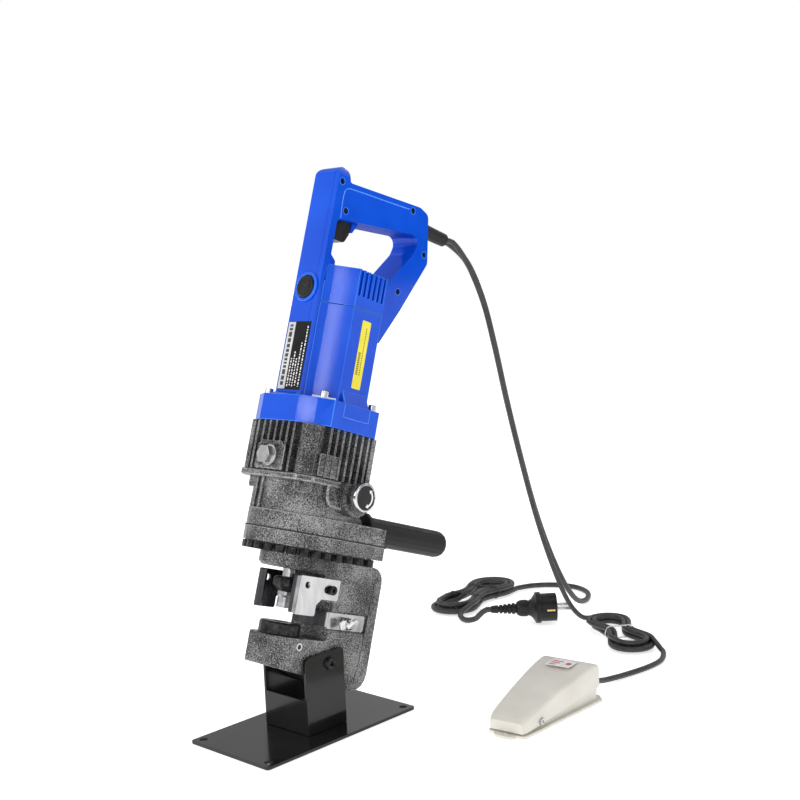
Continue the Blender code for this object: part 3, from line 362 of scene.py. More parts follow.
def hoop(bm, inner, outer, low, high, axis, centre, sides):
    return turned(bm, [(inner, low), (outer, low), (outer, high), (inner, high)], axis, centre, sides)


def span(side, inner, outer):
    """The two distances on one side of the middle plane, in rising order."""
    return tuple(sorted((side * inner, side * outer)))


def tube(bm, path, radius, sides):
    """Round tube along a path, closed at both ends."""
    path = [Vector(p) for p in path]
    side = Vector((0, 0, 1))
    rings = []
    for i, point in enumerate(path):
        along = (path[min(i + 1, len(path) - 1)] - path[max(i - 1, 0)]).normalized()
        if abs(side.dot(along)) > 0.95:
            side = Vector((1, 0, 0))
        side = (side - along * side.dot(along)).normalized()
        other = along.cross(side)
        rings.append([bm.verts.new(point + side * (radius * cos(tau * k / sides))
                                   + other * (radius * sin(tau * k / sides)))
                      for k in range(sides)])
    for a, b in zip(rings, rings[1:]):
        for k in range(sides):
            bm.faces.new((a[k], a[(k + 1) % sides], b[(k + 1) % sides], b[k]))
    bm.faces.new(list(reversed(rings[0])))
    bm.faces.new(rings[-1])
    bmesh.ops.recalc_face_normals(bm, faces=bm.faces)
    return bm


def piece(name, bm, body, look, at=TOOL, bevel=0.0, steps=2, stands_for=(), angle=32.0):
    """A mesh drawn in millimetres in the frame `at` becomes a shown object riding on a body."""
    bm.transform(at @ Matrix.Scale(MM, 4))
    mesh = bpy.data.meshes.new(name)
    bm.to_mesh(mesh)
    bm.free()
    mesh.shade_smooth()
    mesh.set_sharp_from_angle(angle=radians(angle))
    mesh.materials.append(MAT[look])
    made = show(bpy.data.objects.new(name, mesh))
    soften(made, bevel, steps, look)
    if body:
        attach(made, body)
    if stands_for:
        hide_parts(*stands_for)
    return made


def soften(obj, width, steps, look):
    if width <= 0:
        return
    edge = obj.modifiers.new("soft_edges", "BEVEL")
    # the bevel faces take the lighter material of a painted highlight
    paint_edge_highlight(obj, edge, look)
    edge.width = width * MM
    edge.segments = steps
    edge.limit_method = "ANGLE"
    edge.angle_limit = radians(35)
    edge.harden_normals = True
    edge.miter_outer = "MITER_ARC"


def paint_edge_highlight(obj, edge, look):
    """Gives the rounded edges of blue paint and casting a lighter material: a painted highlight."""
    if look in HIGHLIGHT_OF:
        obj.data.materials.append(MAT[HIGHLIGHT_OF[look]])
        edge.material = len(obj.data.materials) - 1


def carve(obj, bm, at=TOOL):
    """Cuts a shape out of a piece, before its edges are softened."""
    bm.transform(at @ Matrix.Scale(MM, 4))
    mesh = bpy.data.meshes.new(obj.name + "_cut")
    bm.to_mesh(mesh)
    bm.free()
    cutter = show(bpy.data.objects.new(obj.name + "_cut", mesh))
    cut = obj.modifiers.new("cut", "BOOLEAN")
    cut.operation = "DIFFERENCE"
    cut.solver = "EXACT"
    cut.object = cutter
    obj.modifiers.move(len(obj.modifiers) - 1, 0)
    view = bpy.context.view_layer
    view.objects.active = obj
    obj.select_set(True)
    with bpy.context.temp_override(object=obj, active_object=obj, selected_objects=[obj]):
        bpy.ops.object.modifier_apply(modifier=cut.name)
    bpy.data.objects.remove(cutter, do_unlink=True)


def on_tool(x, y, z):
    """Where a point of the tool's own frame is, both in millimetres."""
    return TOOL @ (Vector((x, y, z)) * MM) / MM


# ---- leads
MAINS_D, FOOT_D = 7.0, 6.0
MAINS_X, FOOT_X = -3.8, 3.6
SLEEVE_Z, SLEEVE_END = 461.5, 138.0
MAINS_HANK = dict(at=(-160.0, 456.0), turn=radians(98.0), c=48.0, r=28.0, pinch=12.0, low=5.3, head=-1)
FOOT_HANK = dict(at=(92.0, 424.0), turn=radians(-37.0), c=40.0, r=24.0, pinch=10.0, low=4.8, head=1)
MAINS_DROP = [on_tool(MAINS_X, SLEEVE_END + 0.5, SLEEVE_Z), on_tool(MAINS_X, SLEEVE_END + 18, SLEEVE_Z),
              (-4, 283, 452), (-5, 309, 410), (-6, 329, 355), (-8, 350, 290), (-10, 375, 220),
              (-13, 404, 150), (-16, 436, 90), (-20, 470, 42), (-25, 503, 12), (-32, 534, 3.7),
              (-50, 564, 3.7), (-80, 580, 3.7), (-112, 575, 3.7), (-134, 554, 4.2), (-141.8, 527.2, 5.3)]
MAINS_TAIL = [(-122.6, 391.2, 9.0), (-121.5, 383, 6.4), (-114, 375, 4.4), (-100, 368.8, 4.2), (-86, 370.2, 8),
              (-79, 373.2, 15.5), (-74.4, 377.4, 19.5), (-69.1, 382.4, 19.7)]
FOOT_DROP = [on_tool(FOOT_X, SLEEVE_END + 0.5, SLEEVE_Z), on_tool(FOOT_X, SLEEVE_END + 16, SLEEVE_Z),
             (4, 276, 448), (4.5, 300, 402), (5, 318, 345), (6, 336, 280), (8, 356, 210), (11, 378, 140),
             (14, 402, 80), (16.5, 426, 34), (18.5, 450, 9), (23, 470, 3.3), (40, 483, 3.3),
             (58.8, 478.6, 4.6)]
FOOT_TAIL = [(153, 408.2, 7.6), (161, 402, 5.4), (170, 394, 3.9), (181, 370, 3.3), (182, 340, 3.3),
             (176, 305, 3.3), (172.3, 274, 5.5), (172.9, 257, 8.8), (174.5, 241.6, 9.4)]


def smooth_route(points, spacing):
    """Points at even spacing on a Catmull-Rom curve through the route's own points."""
    route = [Vector(p) for p in points]
    route = [2 * route[0] - route[1]] + route + [2 * route[-1] - route[-2]]
    fine = []
    for a, b, c, d in zip(route, route[1:], route[2:], route[3:]):
        for k in range(24):
            t = k / 24
            fine.append(0.5 * (2 * b + (c - a) * t + (2 * a - 5 * b + 4 * c - d) * t ** 2
                               + (3 * b - a - 3 * c + d) * t ** 3))
    fine.append(route[-2])
    return even_route(fine, spacing)


def even_route(fine, spacing):
    total = sum((q - p).length for p, q in zip(fine, fine[1:]))
    count = max(2, round(total / spacing))
    even, walked, target = [fine[0]], 0.0, total / count
    for p, q in zip(fine, fine[1:]):
        step = (q - p).length
        while walked + step >= target * len(even) - 1e-9 and len(even) < count:
            even.append(p.lerp(q, (target * len(even) - walked) / step))
        walked += step
    return even + [fine[-1]]


def step_between(value, low, high):
    """Smooth rise from 0 to 1 as value goes from low to high."""
    share = min(max((value - low) / (high - low), 0.0), 1.0)
    return share * share * (3 - 2 * share)


def windings(hank, diameter):
    """Three laps of a hank that narrows at its middle, in two layers, entered and left on one side."""
    c, r, gap = hank["c"], hank["r"], diameter + 0.15
    low, high, inner = hank["low"], hank["low"] + gap, hank["r"] - gap
    laps = [dict(out=(r, low), back=((r, low), (inner, low), (0.1, 0.8))),
            dict(out=(inner, low), back=((inner, low), (inner, high), (-0.5, 0.0))),
            dict(out=(inner, high), back=((inner, high), (r, high), (-1.0, -0.5))),
            dict(out=(r, high), back=None)]
    points = []

    def straight(u, reach, z, side):
        waist = hank["pinch"] * (1 - step_between(abs(u), 0, c))
        points.append((u, side * (reach - waist), z))

    def loop(reach, z, end):
        for k in range(1, 24):
            a = pi * k / 24
            across = cos(a) if end > 0 else -cos(a)
            points.append((end * (c + reach * sin(a)), across * reach, z))

    for lap in laps:
        reach, z = lap["out"]
        for k in range(25):
            straight(-c + 2 * c * k / 24, reach, z, 1)
        if lap["back"] is None:
            break
        loop(reach, z, 1)
        (reach, z), (reach_to, z_to), (start, end) = lap["back"]
        for k in range(25):
            u = c - 2 * c * k / 24
            share = step_between(-u / c, start, end)
            straight(u, reach + (reach_to - reach) * share, z + (z_to - z) * share, -1)
        loop(reach_to, z_to, -1)
    spin = placed((*hank["at"], 0.0), hank["turn"])
    return [spin @ (Vector((hank["head"] * u, hank["head"] * v, z)) * MM) / MM for u, v, z in points]


def lead(name, drop, hank, tail, diameter, nodes, with_pieces):
    """A cord drawn along its drop, the windings of its hank and its tail."""
    route = smooth_route(drop, 3.0) + windings(hank, diameter)[1:] + smooth_route(tail, 3.0)
    route = even_route(route, 6.0)
    made = piece(name, tube(bmesh.new(), route, diameter / 2, 14), None, "cord", WORLD, stands_for=nodes,
                 angle=60)
    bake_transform(made)


def build_leads():
    lead("power_lead", MAINS_DROP, MAINS_HANK, MAINS_TAIL, MAINS_D,
         ("power_cord", "power_cord_hank", "power_cord_tail"),
         [*build_plug(), *hank_ties("power_lead_tie", MAINS_HANK, MAINS_D, (-21.0, 23.0), "cord")])
    lead("foot_switch_lead", FOOT_DROP, FOOT_HANK, FOOT_TAIL, FOOT_D,
         ("foot_cord", "foot_cord_hank", "foot_cord_tail"),
         hank_ties("foot_switch_lead_tie", FOOT_HANK, FOOT_D, (0.0,), "white_tie", ("foot_cord_tie",)))


def hank_ties(name, hank, diameter, places, look, stands_for=()):
    """Thin ties pulled round the hank, each with its twisted tail."""
    made = []
    spin = placed((*hank["at"], 0.0), hank["turn"])
    for k, u in enumerate(places):
        waist = hank["pinch"] * (1 - step_between(abs(u), 0, hank["c"]))
        half = hank["r"] - waist + diameter / 2 + 0.9
        low, high = hank["low"] - diameter / 2 - 0.9, hank["low"] + 1.5 * diameter + 1.2
        middle, tall = (low + high) / 2, (high - low) / 2
        corner = tall - 0.6
        wrap = []
        for i in range(48):
            a = tau * i / 48
            c, s = cos(a), sin(a)
            wrap.append((u + 0.8 * sin(3 * a), copysign(half - corner, c) + corner * c,
                         middle + tall * s))
        bm = bmesh.new()
        tube(bm, wrap + wrap[:2], 0.75, 8)
        tail = [(u, 3 + 0.8 * sin(i), high + 0.4 + 0.5 * cos(2.1 * i)) for i in range(2)]
        tail += [(u + 1.5 * i, 3 + 2.0 * i + 0.9 * sin(2.1 * i), high + 0.9 + 0.9 * cos(2.1 * i))
                 for i in range(1, 6)]
        tube(bm, tail, 0.7, 8)
        made.append(piece(f"{name}_{k}", bm, "stand", look, spin, stands_for=stands_for if k == 0 else ()))
    return made


def build_plug():
    """Two-pin mains plug with a ribbed strain relief, earth clips and two guide notches."""
    profile = [(0, -67.4), (3.9, -67.4), (4.6, -66.4), (4.6, -64)]
    for k in range(5):
        start = -62.0 + 5.2 * k
        reach = 5.0 + 0.5 * k
        profile += [(reach, start), (reach, start + 3.2), (reach - 1.3, start + 3.7),
                    (reach - 1.3, start + 4.8)]
    profile += [(8.2, -35), (10.2, -31), (10.6, -24), (9.4, -20.5), (11.4, -17), (16.6, -13.2), (19.3, -12.0),
                (19.4, -6.4), (18.7, -5.6), (17.3, -5.2), (17.3, 14), (15.6, 14), (15.6, 9), (0, 9)]
    body = piece("mains_plug", turned(bmesh.new(), profile, "x", sides=48), "stand", "plastic", PLUG,
                 bevel=0.5, stands_for=("plug_body",))
    notch = bmesh.new()
    for side in (-1, 1):
        block(notch, (2.0, 20.0), (-2.6, 2.6), span(side, 15.2, 22.0))
        block(notch, (-2.0, 20.0), span(side, 16.3, 22.0), (-2.7, 2.7))
    carve(body, notch, PLUG)
    made = [body]
    for side, hand in ((-1, "a"), (1, "b")):
        pin = [(0, 5), (2.9, 5), (2.9, 15.5), (2.35, 15.7), (2.35, 31.2), (1.7, 32.6), (0.9, 33), (0, 33)]
        made.append(piece(f"plug_pin_{hand}", turned(bmesh.new(), pin, "x", (0, side * 9.5, 0), 20), "stand",
                          "chrome", PLUG))
        clip = block(bmesh.new(), (1.0, 11.5), span(side, 15.3, 16.4), (-1.3, 1.3))
        made.append(piece(f"plug_earth_clip_{hand}", clip, "stand", "brass", PLUG, bevel=0.4))
    return made


# ---- finish of the model's own parts
FINISHES = (("gloss", 0.5, "base_plate stand_bracket"),
            ("cast", 1.4, "c_frame"),
            ("cast", 0.9, "pump_body"),
            ("cast", 0.5, "oil_tank"),
            ("blue", 1.0, "motor_housing rear_housing"),
            ("black_steel", 0.4, "lower_die punch_holder stand_bolt_left stand_bolt_right "
                                "stripper_screw_left stripper_screw_right"),
            ("black_steel", 0.5, "flange_bolt_ring"),
            ("zinc_guard", 0.35, "stripper_plate_left stripper_plate_right backstop_bracket"),
            ("zinc", 0.6, "oil_plug"),
            ("chrome", 0.3, "piston die_set_screw"),
            ("chrome", 0.0, "plunger_front plunger_rear lower_bearing upper_bearing"),
            ("steel", 0.3, "punch"),
            ("steel", 0.0, "pump_block stator armature_shaft grip_stud foot_switch_pin"),
            ("rubber", 0.0, "piston_seal oil_bladder foot_switch_gland side_grip cable_sleeve"),
            ("plastic", 0.8, "trigger brush_cap"),
            ("plastic", 0.0, "switch_body cooling_fan foot_switch_microswitch"),
            ("copper", 0.0, "armature_core commutator"),
            ("carbon", 0.0, "carbon_brush_front carbon_brush_rear"),
            ("pedal", 0.8, "foot_switch_base"))


def finish_own_parts():
    """Keeps each part's shape, gives it its material and breaks its edges."""
    for look, bevel, nodes in FINISHES:
        for node in nodes.split():
            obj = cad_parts[node]
            obj.data.materials.clear()
            obj.data.materials.append(MAT[look])
            if bevel > 0:
                join = obj.modifiers.new("join", "WELD")
                join.merge_threshold = SAME_POINT
                soften(obj, bevel, 2, look)


# ---- handle
HANDLE_HALF, COVER_SPLIT, WALL, BRUSH_Z = 17.5, 11.0, 3.0, 357.0
HANDLE = [(-45, 249, 0), (-45, 482, 9), (-32, 482, 3), (-28, 468, 3), (76, 477, 14), (90, 473, 8),
          (101, 422.6, 8), (72, 364, 10), (49.3, 323.4, 0), (47.5, 323, 0), (47.5, 344.5, 0),
          (37.5, 344.5, 0), (37.5, 382.3, 0), (45, 382.3, 2), (78, 427, 14), (84, 448.3, 9),
          (-37, 428.3, 5), (-37, 392, 3), (-30, 387, 3), (-30, 366, 0), (-40, 366, 0), (-40, 249, 0)]
HOLLOW = [(-41.5, 392, 0), (-41.5, 476, 4), (-35, 476, 3), (-31, 464.5, 2), (76, 473, 8), (86, 469, 6),
          (97, 423, 6), (69, 367, 6), (53, 338, 2), (50.5, 347.5, 0), (40.5, 347.5, 0), (40.5, 379, 0),
          (47, 379, 0), (81, 425, 8), (87.5, 452.5, 4), (-12, 436, 2), (-39, 432, 2), (-39, 392, 0)]
HANDLE_SCREWS = [(-39.5, 466), (-28, 439), (66, 470), (93.5, 430.5), (64, 382), (-36, 377)]


def edge_share(a, b):
    """Full rounding on the outer side face, a hairline on the split, a little everywhere else."""
    if min(abs(a.x), abs(b.x)) > HANDLE_HALF - 0.2:
        return 1.0
    return 0.1 if abs(a.x - b.x) < 0.1 else 0.35


def weigh_edges(obj, width):
    """Rounds each sharp edge of a handle half by its own share of the width."""
    back = TOOL.inverted()
    bm = bmesh.new()
    bm.from_mesh(obj.data)
    bmesh.ops.remove_doubles(bm, verts=bm.verts, dist=SAME_POINT)
    bmesh.ops.dissolve_limit(bm, angle_limit=radians(1.0), verts=bm.verts, edges=bm.edges)
    weights = bm.edges.layers.float.new("bevel_weight_edge")
    for edge in bm.edges:
        if len(edge.link_faces) == 2 and edge.calc_face_angle(0) > radians(28):
            edge[weights] = edge_share(*[back @ v.co / MM for v in edge.verts])
    bm.to_mesh(obj.data)
    bm.free()
    edge = obj.modifiers.new("soft_edges", "BEVEL")
    # the bevel faces take a lighter blue: painted highlight
    paint_edge_highlight(obj, edge, "blue")
    edge.width = width * MM
    edge.segments = 4
    edge.limit_method = "WEIGHT"
    edge.harden_normals = True


def strip_corner(side):
    """The waste outside the rounded top corner of the front strip, in (x, z)."""
    reach, top = 10.0, 482
    quarter = [pi / 2 * k / 8 for k in range(9)]
    arc = [(side * (HANDLE_HALF - reach + reach * sin(a)), top - reach + reach * cos(a))
           for a in quarter]
    return arc + [(side * 19.5, top - reach), (side * 19.5, top + 2), (side * (HANDLE_HALF - reach), top + 2)]


def dull_and_shade_underside(obj):
    """The underside of the grip, where fingers close round it, has a dull finish, and its darker blue there
    is painted shade.
    """
    up = TOOL.to_3x3() @ Vector((0.0, 0.0, 1.0))
    obj.data.materials.append(MAT["blue_grip_shade"])
    for face in obj.data.polygons:
        if face.normal.dot(up) < -0.8:
            face.material_index = len(obj.data.materials) - 1


def build_handle():
    cuts = {}
    halves = {"handle_body": (-HANDLE_HALF, COVER_SPLIT - 0.05, "handle_shell", -1),
              "handle_side_cover": (COVER_SPLIT + 0.3, HANDLE_HALF, "handle_cover", 1)}
    for name, (low, high, node, side) in halves.items():
        made = piece(name, prism(bmesh.new(), fillet(HANDLE, 8), low, high, "x"), "tool", "blue",
                     stands_for=(node,), angle=40)
        cuts[name] = made
        carve(made, prism(bmesh.new(), strip_corner(side), -60, -27.5, "y"))
        inner = (WALL - HANDLE_HALF, COVER_SPLIT + 5) if side < 0 else (COVER_SPLIT - 5, HANDLE_HALF - WALL)
        carve(made, prism(bmesh.new(), fillet(HOLLOW, 3), *inner, "x"))
        carve(made, rod(bmesh.new(), 15.0, -60, -42, "y", (0, 0, BRUSH_Z)))
    body, cover = cuts["handle_body"], cuts["handle_side_cover"]
    holes = rod(bmesh.new(), 8.4, 75, 120, "y", (0, 0, SLEEVE_Z), 32)
    block(holes, (-7.8, 7.8), (-36.4, -8.6), (424, 439))
    carve(body, holes)
    recess = bmesh.new()
    for y, z in HANDLE_SCREWS:
        rod(recess, 3.3, 14.6, 19, "x", (0, y, z), 24)
    carve(cover, recess)
    for made in (body, cover):
        weigh_edges(made, 2.2)
        dull_and_shade_underside(made)
    collar = [(11.7, -42.2), (15.2, -42.2), (15.2, -46.6), (14.4, -47.4), (12.6, -47.4), (11.7, -46.6)]
    piece("brush_cap_ring", turned(bmesh.new(), collar, "y", (0, 0, BRUSH_Z), 48), "tool", "blue", bevel=0.2)
    coin = bmesh.new()
    block(coin, (-6.0, 6.0), (-48.9, -48.3), (BRUSH_Z - 0.9, BRUSH_Z + 0.9))
    hoop(coin, 7.4, 8.2, -48.4, -48.9, "y", (0, 0, BRUSH_Z), 40)
    piece("brush_cap_mark", coin, "tool", "black_steel")
    for k, (y, z) in enumerate(HANDLE_SCREWS):
        head = [(0, 14.8), (2.9, 14.8), (2.9, 16.2), (2.6, 16.6), (1.5, 16.6), (1.5, 15.6), (0, 15.6)]
        piece(f"handle_screw_{k}", turned(bmesh.new(), head, "x", (0, y, z), 20), "tool", "black_steel")
        # a lighter blue ring round each screw: painted highlight
        piece(f"handle_screw_rim_{k}", hoop(bmesh.new(), 3.25, 3.9, 17.2, 17.62, "x", (0, y, z), 28), "tool",
              "blue_light")


def bead(name, points, radius, look):
    """A fine raised line moulded on a face of the tool."""
    piece(name, tube(bmesh.new(), smooth_route(points, 2.0), radius, 8), "tool", look)


def build_handle_details():
    face = HANDLE_HALF - 0.35
    route = [(-33.2, 430), (-34.2, 440), (-34.6, 452), (-33.4, 458.5), (-30, 461.4), (-24, 462.6), (0, 464.8),
             (30, 467.2), (52, 469.2), (60, 470.0)]
    # the inset line is lighter blue: a painted highlight
    bead("handle_inset_line", [(face, y, z) for y, z in route], 0.7, "blue_light")
    guard = fillet([(-8.2, 432.5, 0), (-8.2, 423.5, 2), (-6, 423.5, 2), (0, 434.2, 0)], 4)
    piece("trigger_guard", prism(bmesh.new(), guard, -8.5, 8.5, "x"), "tool", "blue", bevel=0.8)
    seam = bmesh.new()
    block(seam, (42.6, 42.9), (-18, 22), (343.6, 344.4))
    piece("housing_seam", seam, "tool", "seam")


# ---- motor dress
def build_labels():
    plate = fillet([(-16, 254, 1), (16, 254, 1), (16, 322, 1), (-16, 322, 1)], 3)
    piece("rating_label", prism(bmesh.new(), plate, -45.35, -44.9, "y"), "tool", "label_black")
    strip = [(-15.4, 254.6), (-5.4, 254.6), (-5.4, 321.4), (-15.4, 321.4)]
    piece("rating_label_band", prism(bmesh.new(), strip, -45.5, -45.3, "y"), "tool", "label_silver")
    rows = bmesh.new()
    pattern = (3.0, 1.6, 4.2, 2.2, 1.2, 3.4, 2.6, 1.8)
    for row, x in enumerate((-2.6, 1.0, 4.6, 8.4, 13.0)):
        z, k = 257.0 + row % 2, row * 3
        end = (286, 292, 286, 300, 318)[row]
        while z < end:
            long = 0.7 * pattern[k % len(pattern)]
            block(rows, (x - 0.7, x + 0.7), (-45.5, -45.3), (z, z + long))
            z += long + 1.2
            k += 1
    piece("rating_label_rows", rows, "tool", "print_white")
    band = bmesh.new()
    z, k = 258.0, 0
    while z < 318:
        long = pattern[(k * 5) % len(pattern)] + 0.8
        block(band, (-12.6, -8.4), (-45.62, -45.45), (z, z + long))
        z += long + 1.4
        k += 1
    piece("rating_label_band_rows", band, "tool", "print_dark")
    tag = fillet([(-3.3, 266, 1.2), (8.6, 266, 1.2), (8.6, 334, 1.2), (-3.3, 334, 1.2)], 3)
    piece("caution_tag", prism(bmesh.new(), tag, 42.8, 43.3, "x"), "tool", "label_yellow")
    marks = bmesh.new()
    for count, pitch, across, long in ((12, 1.9, (-1.4, 1.2), 1.1), (20, 2.4, (3.4, 4.3), 1.5)):
        for k in range(count):
            z = 280 + pitch * k
            block(marks, (43.25, 43.42), across, (z, z + long))
    piece("caution_tag_rows", marks, "tool", "print_dark")


def build_motor_details():
    for k, (x, y) in enumerate(((-40, -33.5), (40, -33.5), (-40, 33.5), (40, 33.5))):
        washer = rod(bmesh.new(), 5.2, 248.6, 249.6, "z", (x, y, 0), 28)
        piece(f"collar_washer_{k}", washer, "tool", "zinc", bevel=0.2)
        head = [(0, 249.5), (4.1, 249.5), (4.1, 255.4), (3.6, 256.0), (2.2, 256.0), (2.2, 252.8), (0, 252.8)]
        piece(f"collar_screw_{k}", turned(bmesh.new(), head, "z", (x, y, 0), 24), "tool", "chrome")
        turn = radians(45 if x * y < 0 else -45)
        corner = TOOL @ Matrix.Translation(Vector((x, y, 248.7)) * MM) @ Matrix.Rotation(turn, 4, "Z")
        bar = block(bmesh.new(), (-11.5, 11.5), (-3.4, 1.2) if y < 0 else (-1.2, 3.4), (0, 1.7))
        piece(f"collar_clamp_bar_{k}", bar, "tool", "print_white", corner, bevel=0.2)
    for side, hand in HANDS:
        x = side * 53.45
        frame_line = [(x, -17, 247.5), (x, -17, 236.5), (x, -15.5, 235), (x, 16, 235), (x, 17.7, 236.7),
                      (x, 17.9, 247.5)]
        # the collar lines are lighter blue: painted highlights
        bead(f"collar_line_{hand}", frame_line, 0.45, "blue_light")
        flare = prism(bmesh.new(), [(side * 40, 248), (side * 50, 248), (side * 42.8, 262), (side * 40, 262)],
                      -14, 20, "y")
        piece(f"collar_flare_{hand}", flare, "tool", "blue", bevel=0.8)
    flare = prism(bmesh.new(), [(-44.6, 248), (-51, 248), (-44.8, 252.5)], -17.3, 17.3, "x")
    piece("collar_front_lip", flare, "tool", "blue", bevel=0.4)


# ---- castings
CORNER = TOOL @ Matrix.Rotation(radians(45), 4, "Z")


def build_casting_details():
    pad = fillet([(-19.5, 175, 1), (19.5, 175, 1), (19.5, 199.5, 2), (-19.5, 199.5, 2)], 3)
    piece("oil_plug_pad", prism(bmesh.new(), pad, -53.0, -43.0, "y"), "tool", "cast", bevel=0.8)
    boss = fillet([(-34.5, 175, 1), (-7.5, 175, 1), (-7.5, 196.5, 2), (-34.5, 196.5, 2)], 3)
    piece("tank_side_boss", prism(bmesh.new(), boss, 43.0, 50.8, "x"), "tool", "cast", bevel=0.8)
    half, cut = 51.2, 12.0
    plan = [(-half + cut, -half), (half - cut, -half), (half, -half + cut), (half, half - cut),
            (half - cut, half), (-half + cut, half), (-half, half - cut), (-half, -half + cut)]
    ledge = piece("pump_top_ledge", prism(bmesh.new(), plan, 167.5, 173.8), "tool", "cast", bevel=1.8,
                  steps=3)
    carve(ledge, rod(bmesh.new(), 44, 160, 180, "z", (0, 0, 0)))
    for turn, name in ((0, "front_right"), (90, "rear_right"), (180, "rear_left"), (270, "front_left")):
        spot = CORNER @ Matrix.Rotation(radians(turn), 4, "Z")
        shape = fillet([(-8.8, 173.6, 0), (-8.8, 157, 5), (8.8, 157, 5), (8.8, 173.6, 0)], 5)
        tab = piece(f"corner_tab_{name}", prism(bmesh.new(), shape, -54.5, -44, "y"), "tool", "cast", spot,
                    bevel=1.2, steps=3)
        inner = fillet([(-5.2, 172, 1), (-5.2, 161, 3), (5.2, 161, 3), (5.2, 172, 1)], 4)
        carve(tab, prism(bmesh.new(), inner, -56, -53.2, "y"), spot)
    boss = fillet([(-17, 174, 0), (-17, 147.5, 13), (34, 147.5, 13), (34, 174, 0)], 6)
    piece("knob_boss", prism(bmesh.new(), boss, 30, 50.5, "x"), "tool", "cast", bevel=2.0, steps=3)
    for k, x in enumerate((-30, -19.5, -8)):
        y = -sqrt(47.0 ** 2 - x ** 2)
        rib = prism(bmesh.new(), [(x - 1.8, y + 4), (x + 1.8, y + 4), (x + 1.2, y - 3.2), (x - 1.2, y - 3.2)],
                    137.2, 168)
        piece(f"pump_front_rib_{k}", rib, "tool", "cast", bevel=0.8)


def flange_line(name, z, half, radius, look, rear=76):
    """A fine line round the flange: down one side, round the front and back up the other."""
    front = [(half * cos(a), -half * sin(a), z) for a in (pi * k / 24 for k in range(25))]
    route = [(half, rear, z), (half, 40, z), (half, 12, z)] + front
    route += [(-half, 12, z), (-half, 40, z), (-half, rear, z)]
    bead(name, route, radius, look)


def build_flange_lines():
    flange_line("flange_joint_line", 120.0, 50.6, 0.75, "pit")
    # the two edge lines are lighter grey: painted highlights
    flange_line("flange_joint_edge", 118.9, 50.7, 0.45, "cast_edge")
    flange_line("flange_top_edge", 136.7, 50.2, 0.6, "cast_edge", 66)


KNOB_AT = (0, 18.5, 163.0)


def build_knob():
    stem = [(0, 38), (5, 38), (5, 56), (9.5, 57.5), (11, 60.3), (14.2, 60.6), (14.5, 61.2), (14.5, 66.4),
            (13.9, 67.4), (13.1, 67.8), (12.4, 67.8), (12.0, 67.2), (0, 67.2)]
    at = KNOB_AT
    piece("release_knob_rim", turned(bmesh.new(), stem, "x", at, 56), "release_knob", "chrome",
          stands_for=("release_knob",))
    piece("release_knob_face", rod(bmesh.new(), 11.8, 67.1, 67.5, "x", at), "release_knob", "plastic")
    arrow = bmesh.new()

    def spot(radius, angle):
        return at[1] + radius * cos(angle), at[2] + radius * sin(angle)

    start, end = radians(-62), radians(48)
    outer = [spot(9.6, start + (end - start) * k / 16) for k in range(17)]
    inner = [spot(7.8, end + (start - end) * k / 16) for k in range(17)]
    prism(arrow, outer + inner, 67.45, 67.72, "x")
    for tip, base in ((end + 0.34, end - 0.02), (start - 0.34, start + 0.02)):
        prism(arrow, [spot(11.0, base), spot(8.7, tip), spot(6.4, base)], 67.45, 67.72, "x")
    piece("release_knob_arrow", arrow, "release_knob", "print_white")


# ---- work end
def build_wing_screw():
    y, z = 59.0, 39.5
    profile = [(0, 11), (2.9, 11)]
    for k in range(11):
        x = 12.0 + 1.3 * k
        profile += [(3.0, x), (2.5, x + 0.65)]
    profile += [(3.0, 27.4), (5.6, 27.6), (6.0, 28.2), (6.0, 34.8), (5.2, 37.6), (3.6, 39.4), (0, 40)]
    screw = turned(bmesh.new(), profile, "x", (0, y, z), 28)
    piece("wing_screw_shank", screw, "wing_screw", "chrome", stands_for=("wing_screw",), angle=25)
    wings = bmesh.new()
    for side in (-1, 1):
        wing = fillet([(y + side * 2.0, z - 3.5, 0), (y + side * 11.0, z + side * 2 - 6.4, 3.4),
                       (y + side * 13.4, z + side * 2 + 5.6, 3.4), (y + side * 2.0, z + 3.5, 0)], 5)
        prism(wings, wing, 33.4, 36.2, "x")
    piece("wing_screw_wings", wings, "wing_screw", "chrome", bevel=0.9, steps=3)


def build_frame_ribs():
    back = [(86.5, -18, 0), (90, 4, 0), (93.5, 88, 3), (97.5, 88, 3), (98.5, 4, 0), (95, -18, 0)]
    for side, hand in HANDS:
        for name, rib in (("upper", [(46, 51.5, 2), (66, 51.5, 2), (64, 57, 3), (48, 57, 3)]),
                          ("lower", [(44, 24, 3), (62, 24, 3), (64, 29.8, 2), (42, 29.8, 2)])):
            raised = prism(bmesh.new(), fillet(rib, 4), *span(side, 26.5, 29.0), "x")
            piece(f"frame_rib_{name}_{hand}", raised, "tool", "cast", bevel=0.9)
        raised = prism(bmesh.new(), fillet(back, 3), *span(side, 27.2, 28.1), "x")
        piece(f"frame_back_rib_{hand}", raised, "tool", "cast", bevel=0.6)


# ---- foot switch
PEDAL_FRONT, PEDAL_BACK = -64.0, 66.0
PEDAL_NOSE_Z, PEDAL_TOP_Z = 17.0, 41.0
PEDAL_PIN = (0, -36, 9.5)


def pedal_half(y, inset=0.0):
    share = (y - PEDAL_FRONT) / (PEDAL_BACK - PEDAL_FRONT)
    return 20.0 + 12.5 * share - inset


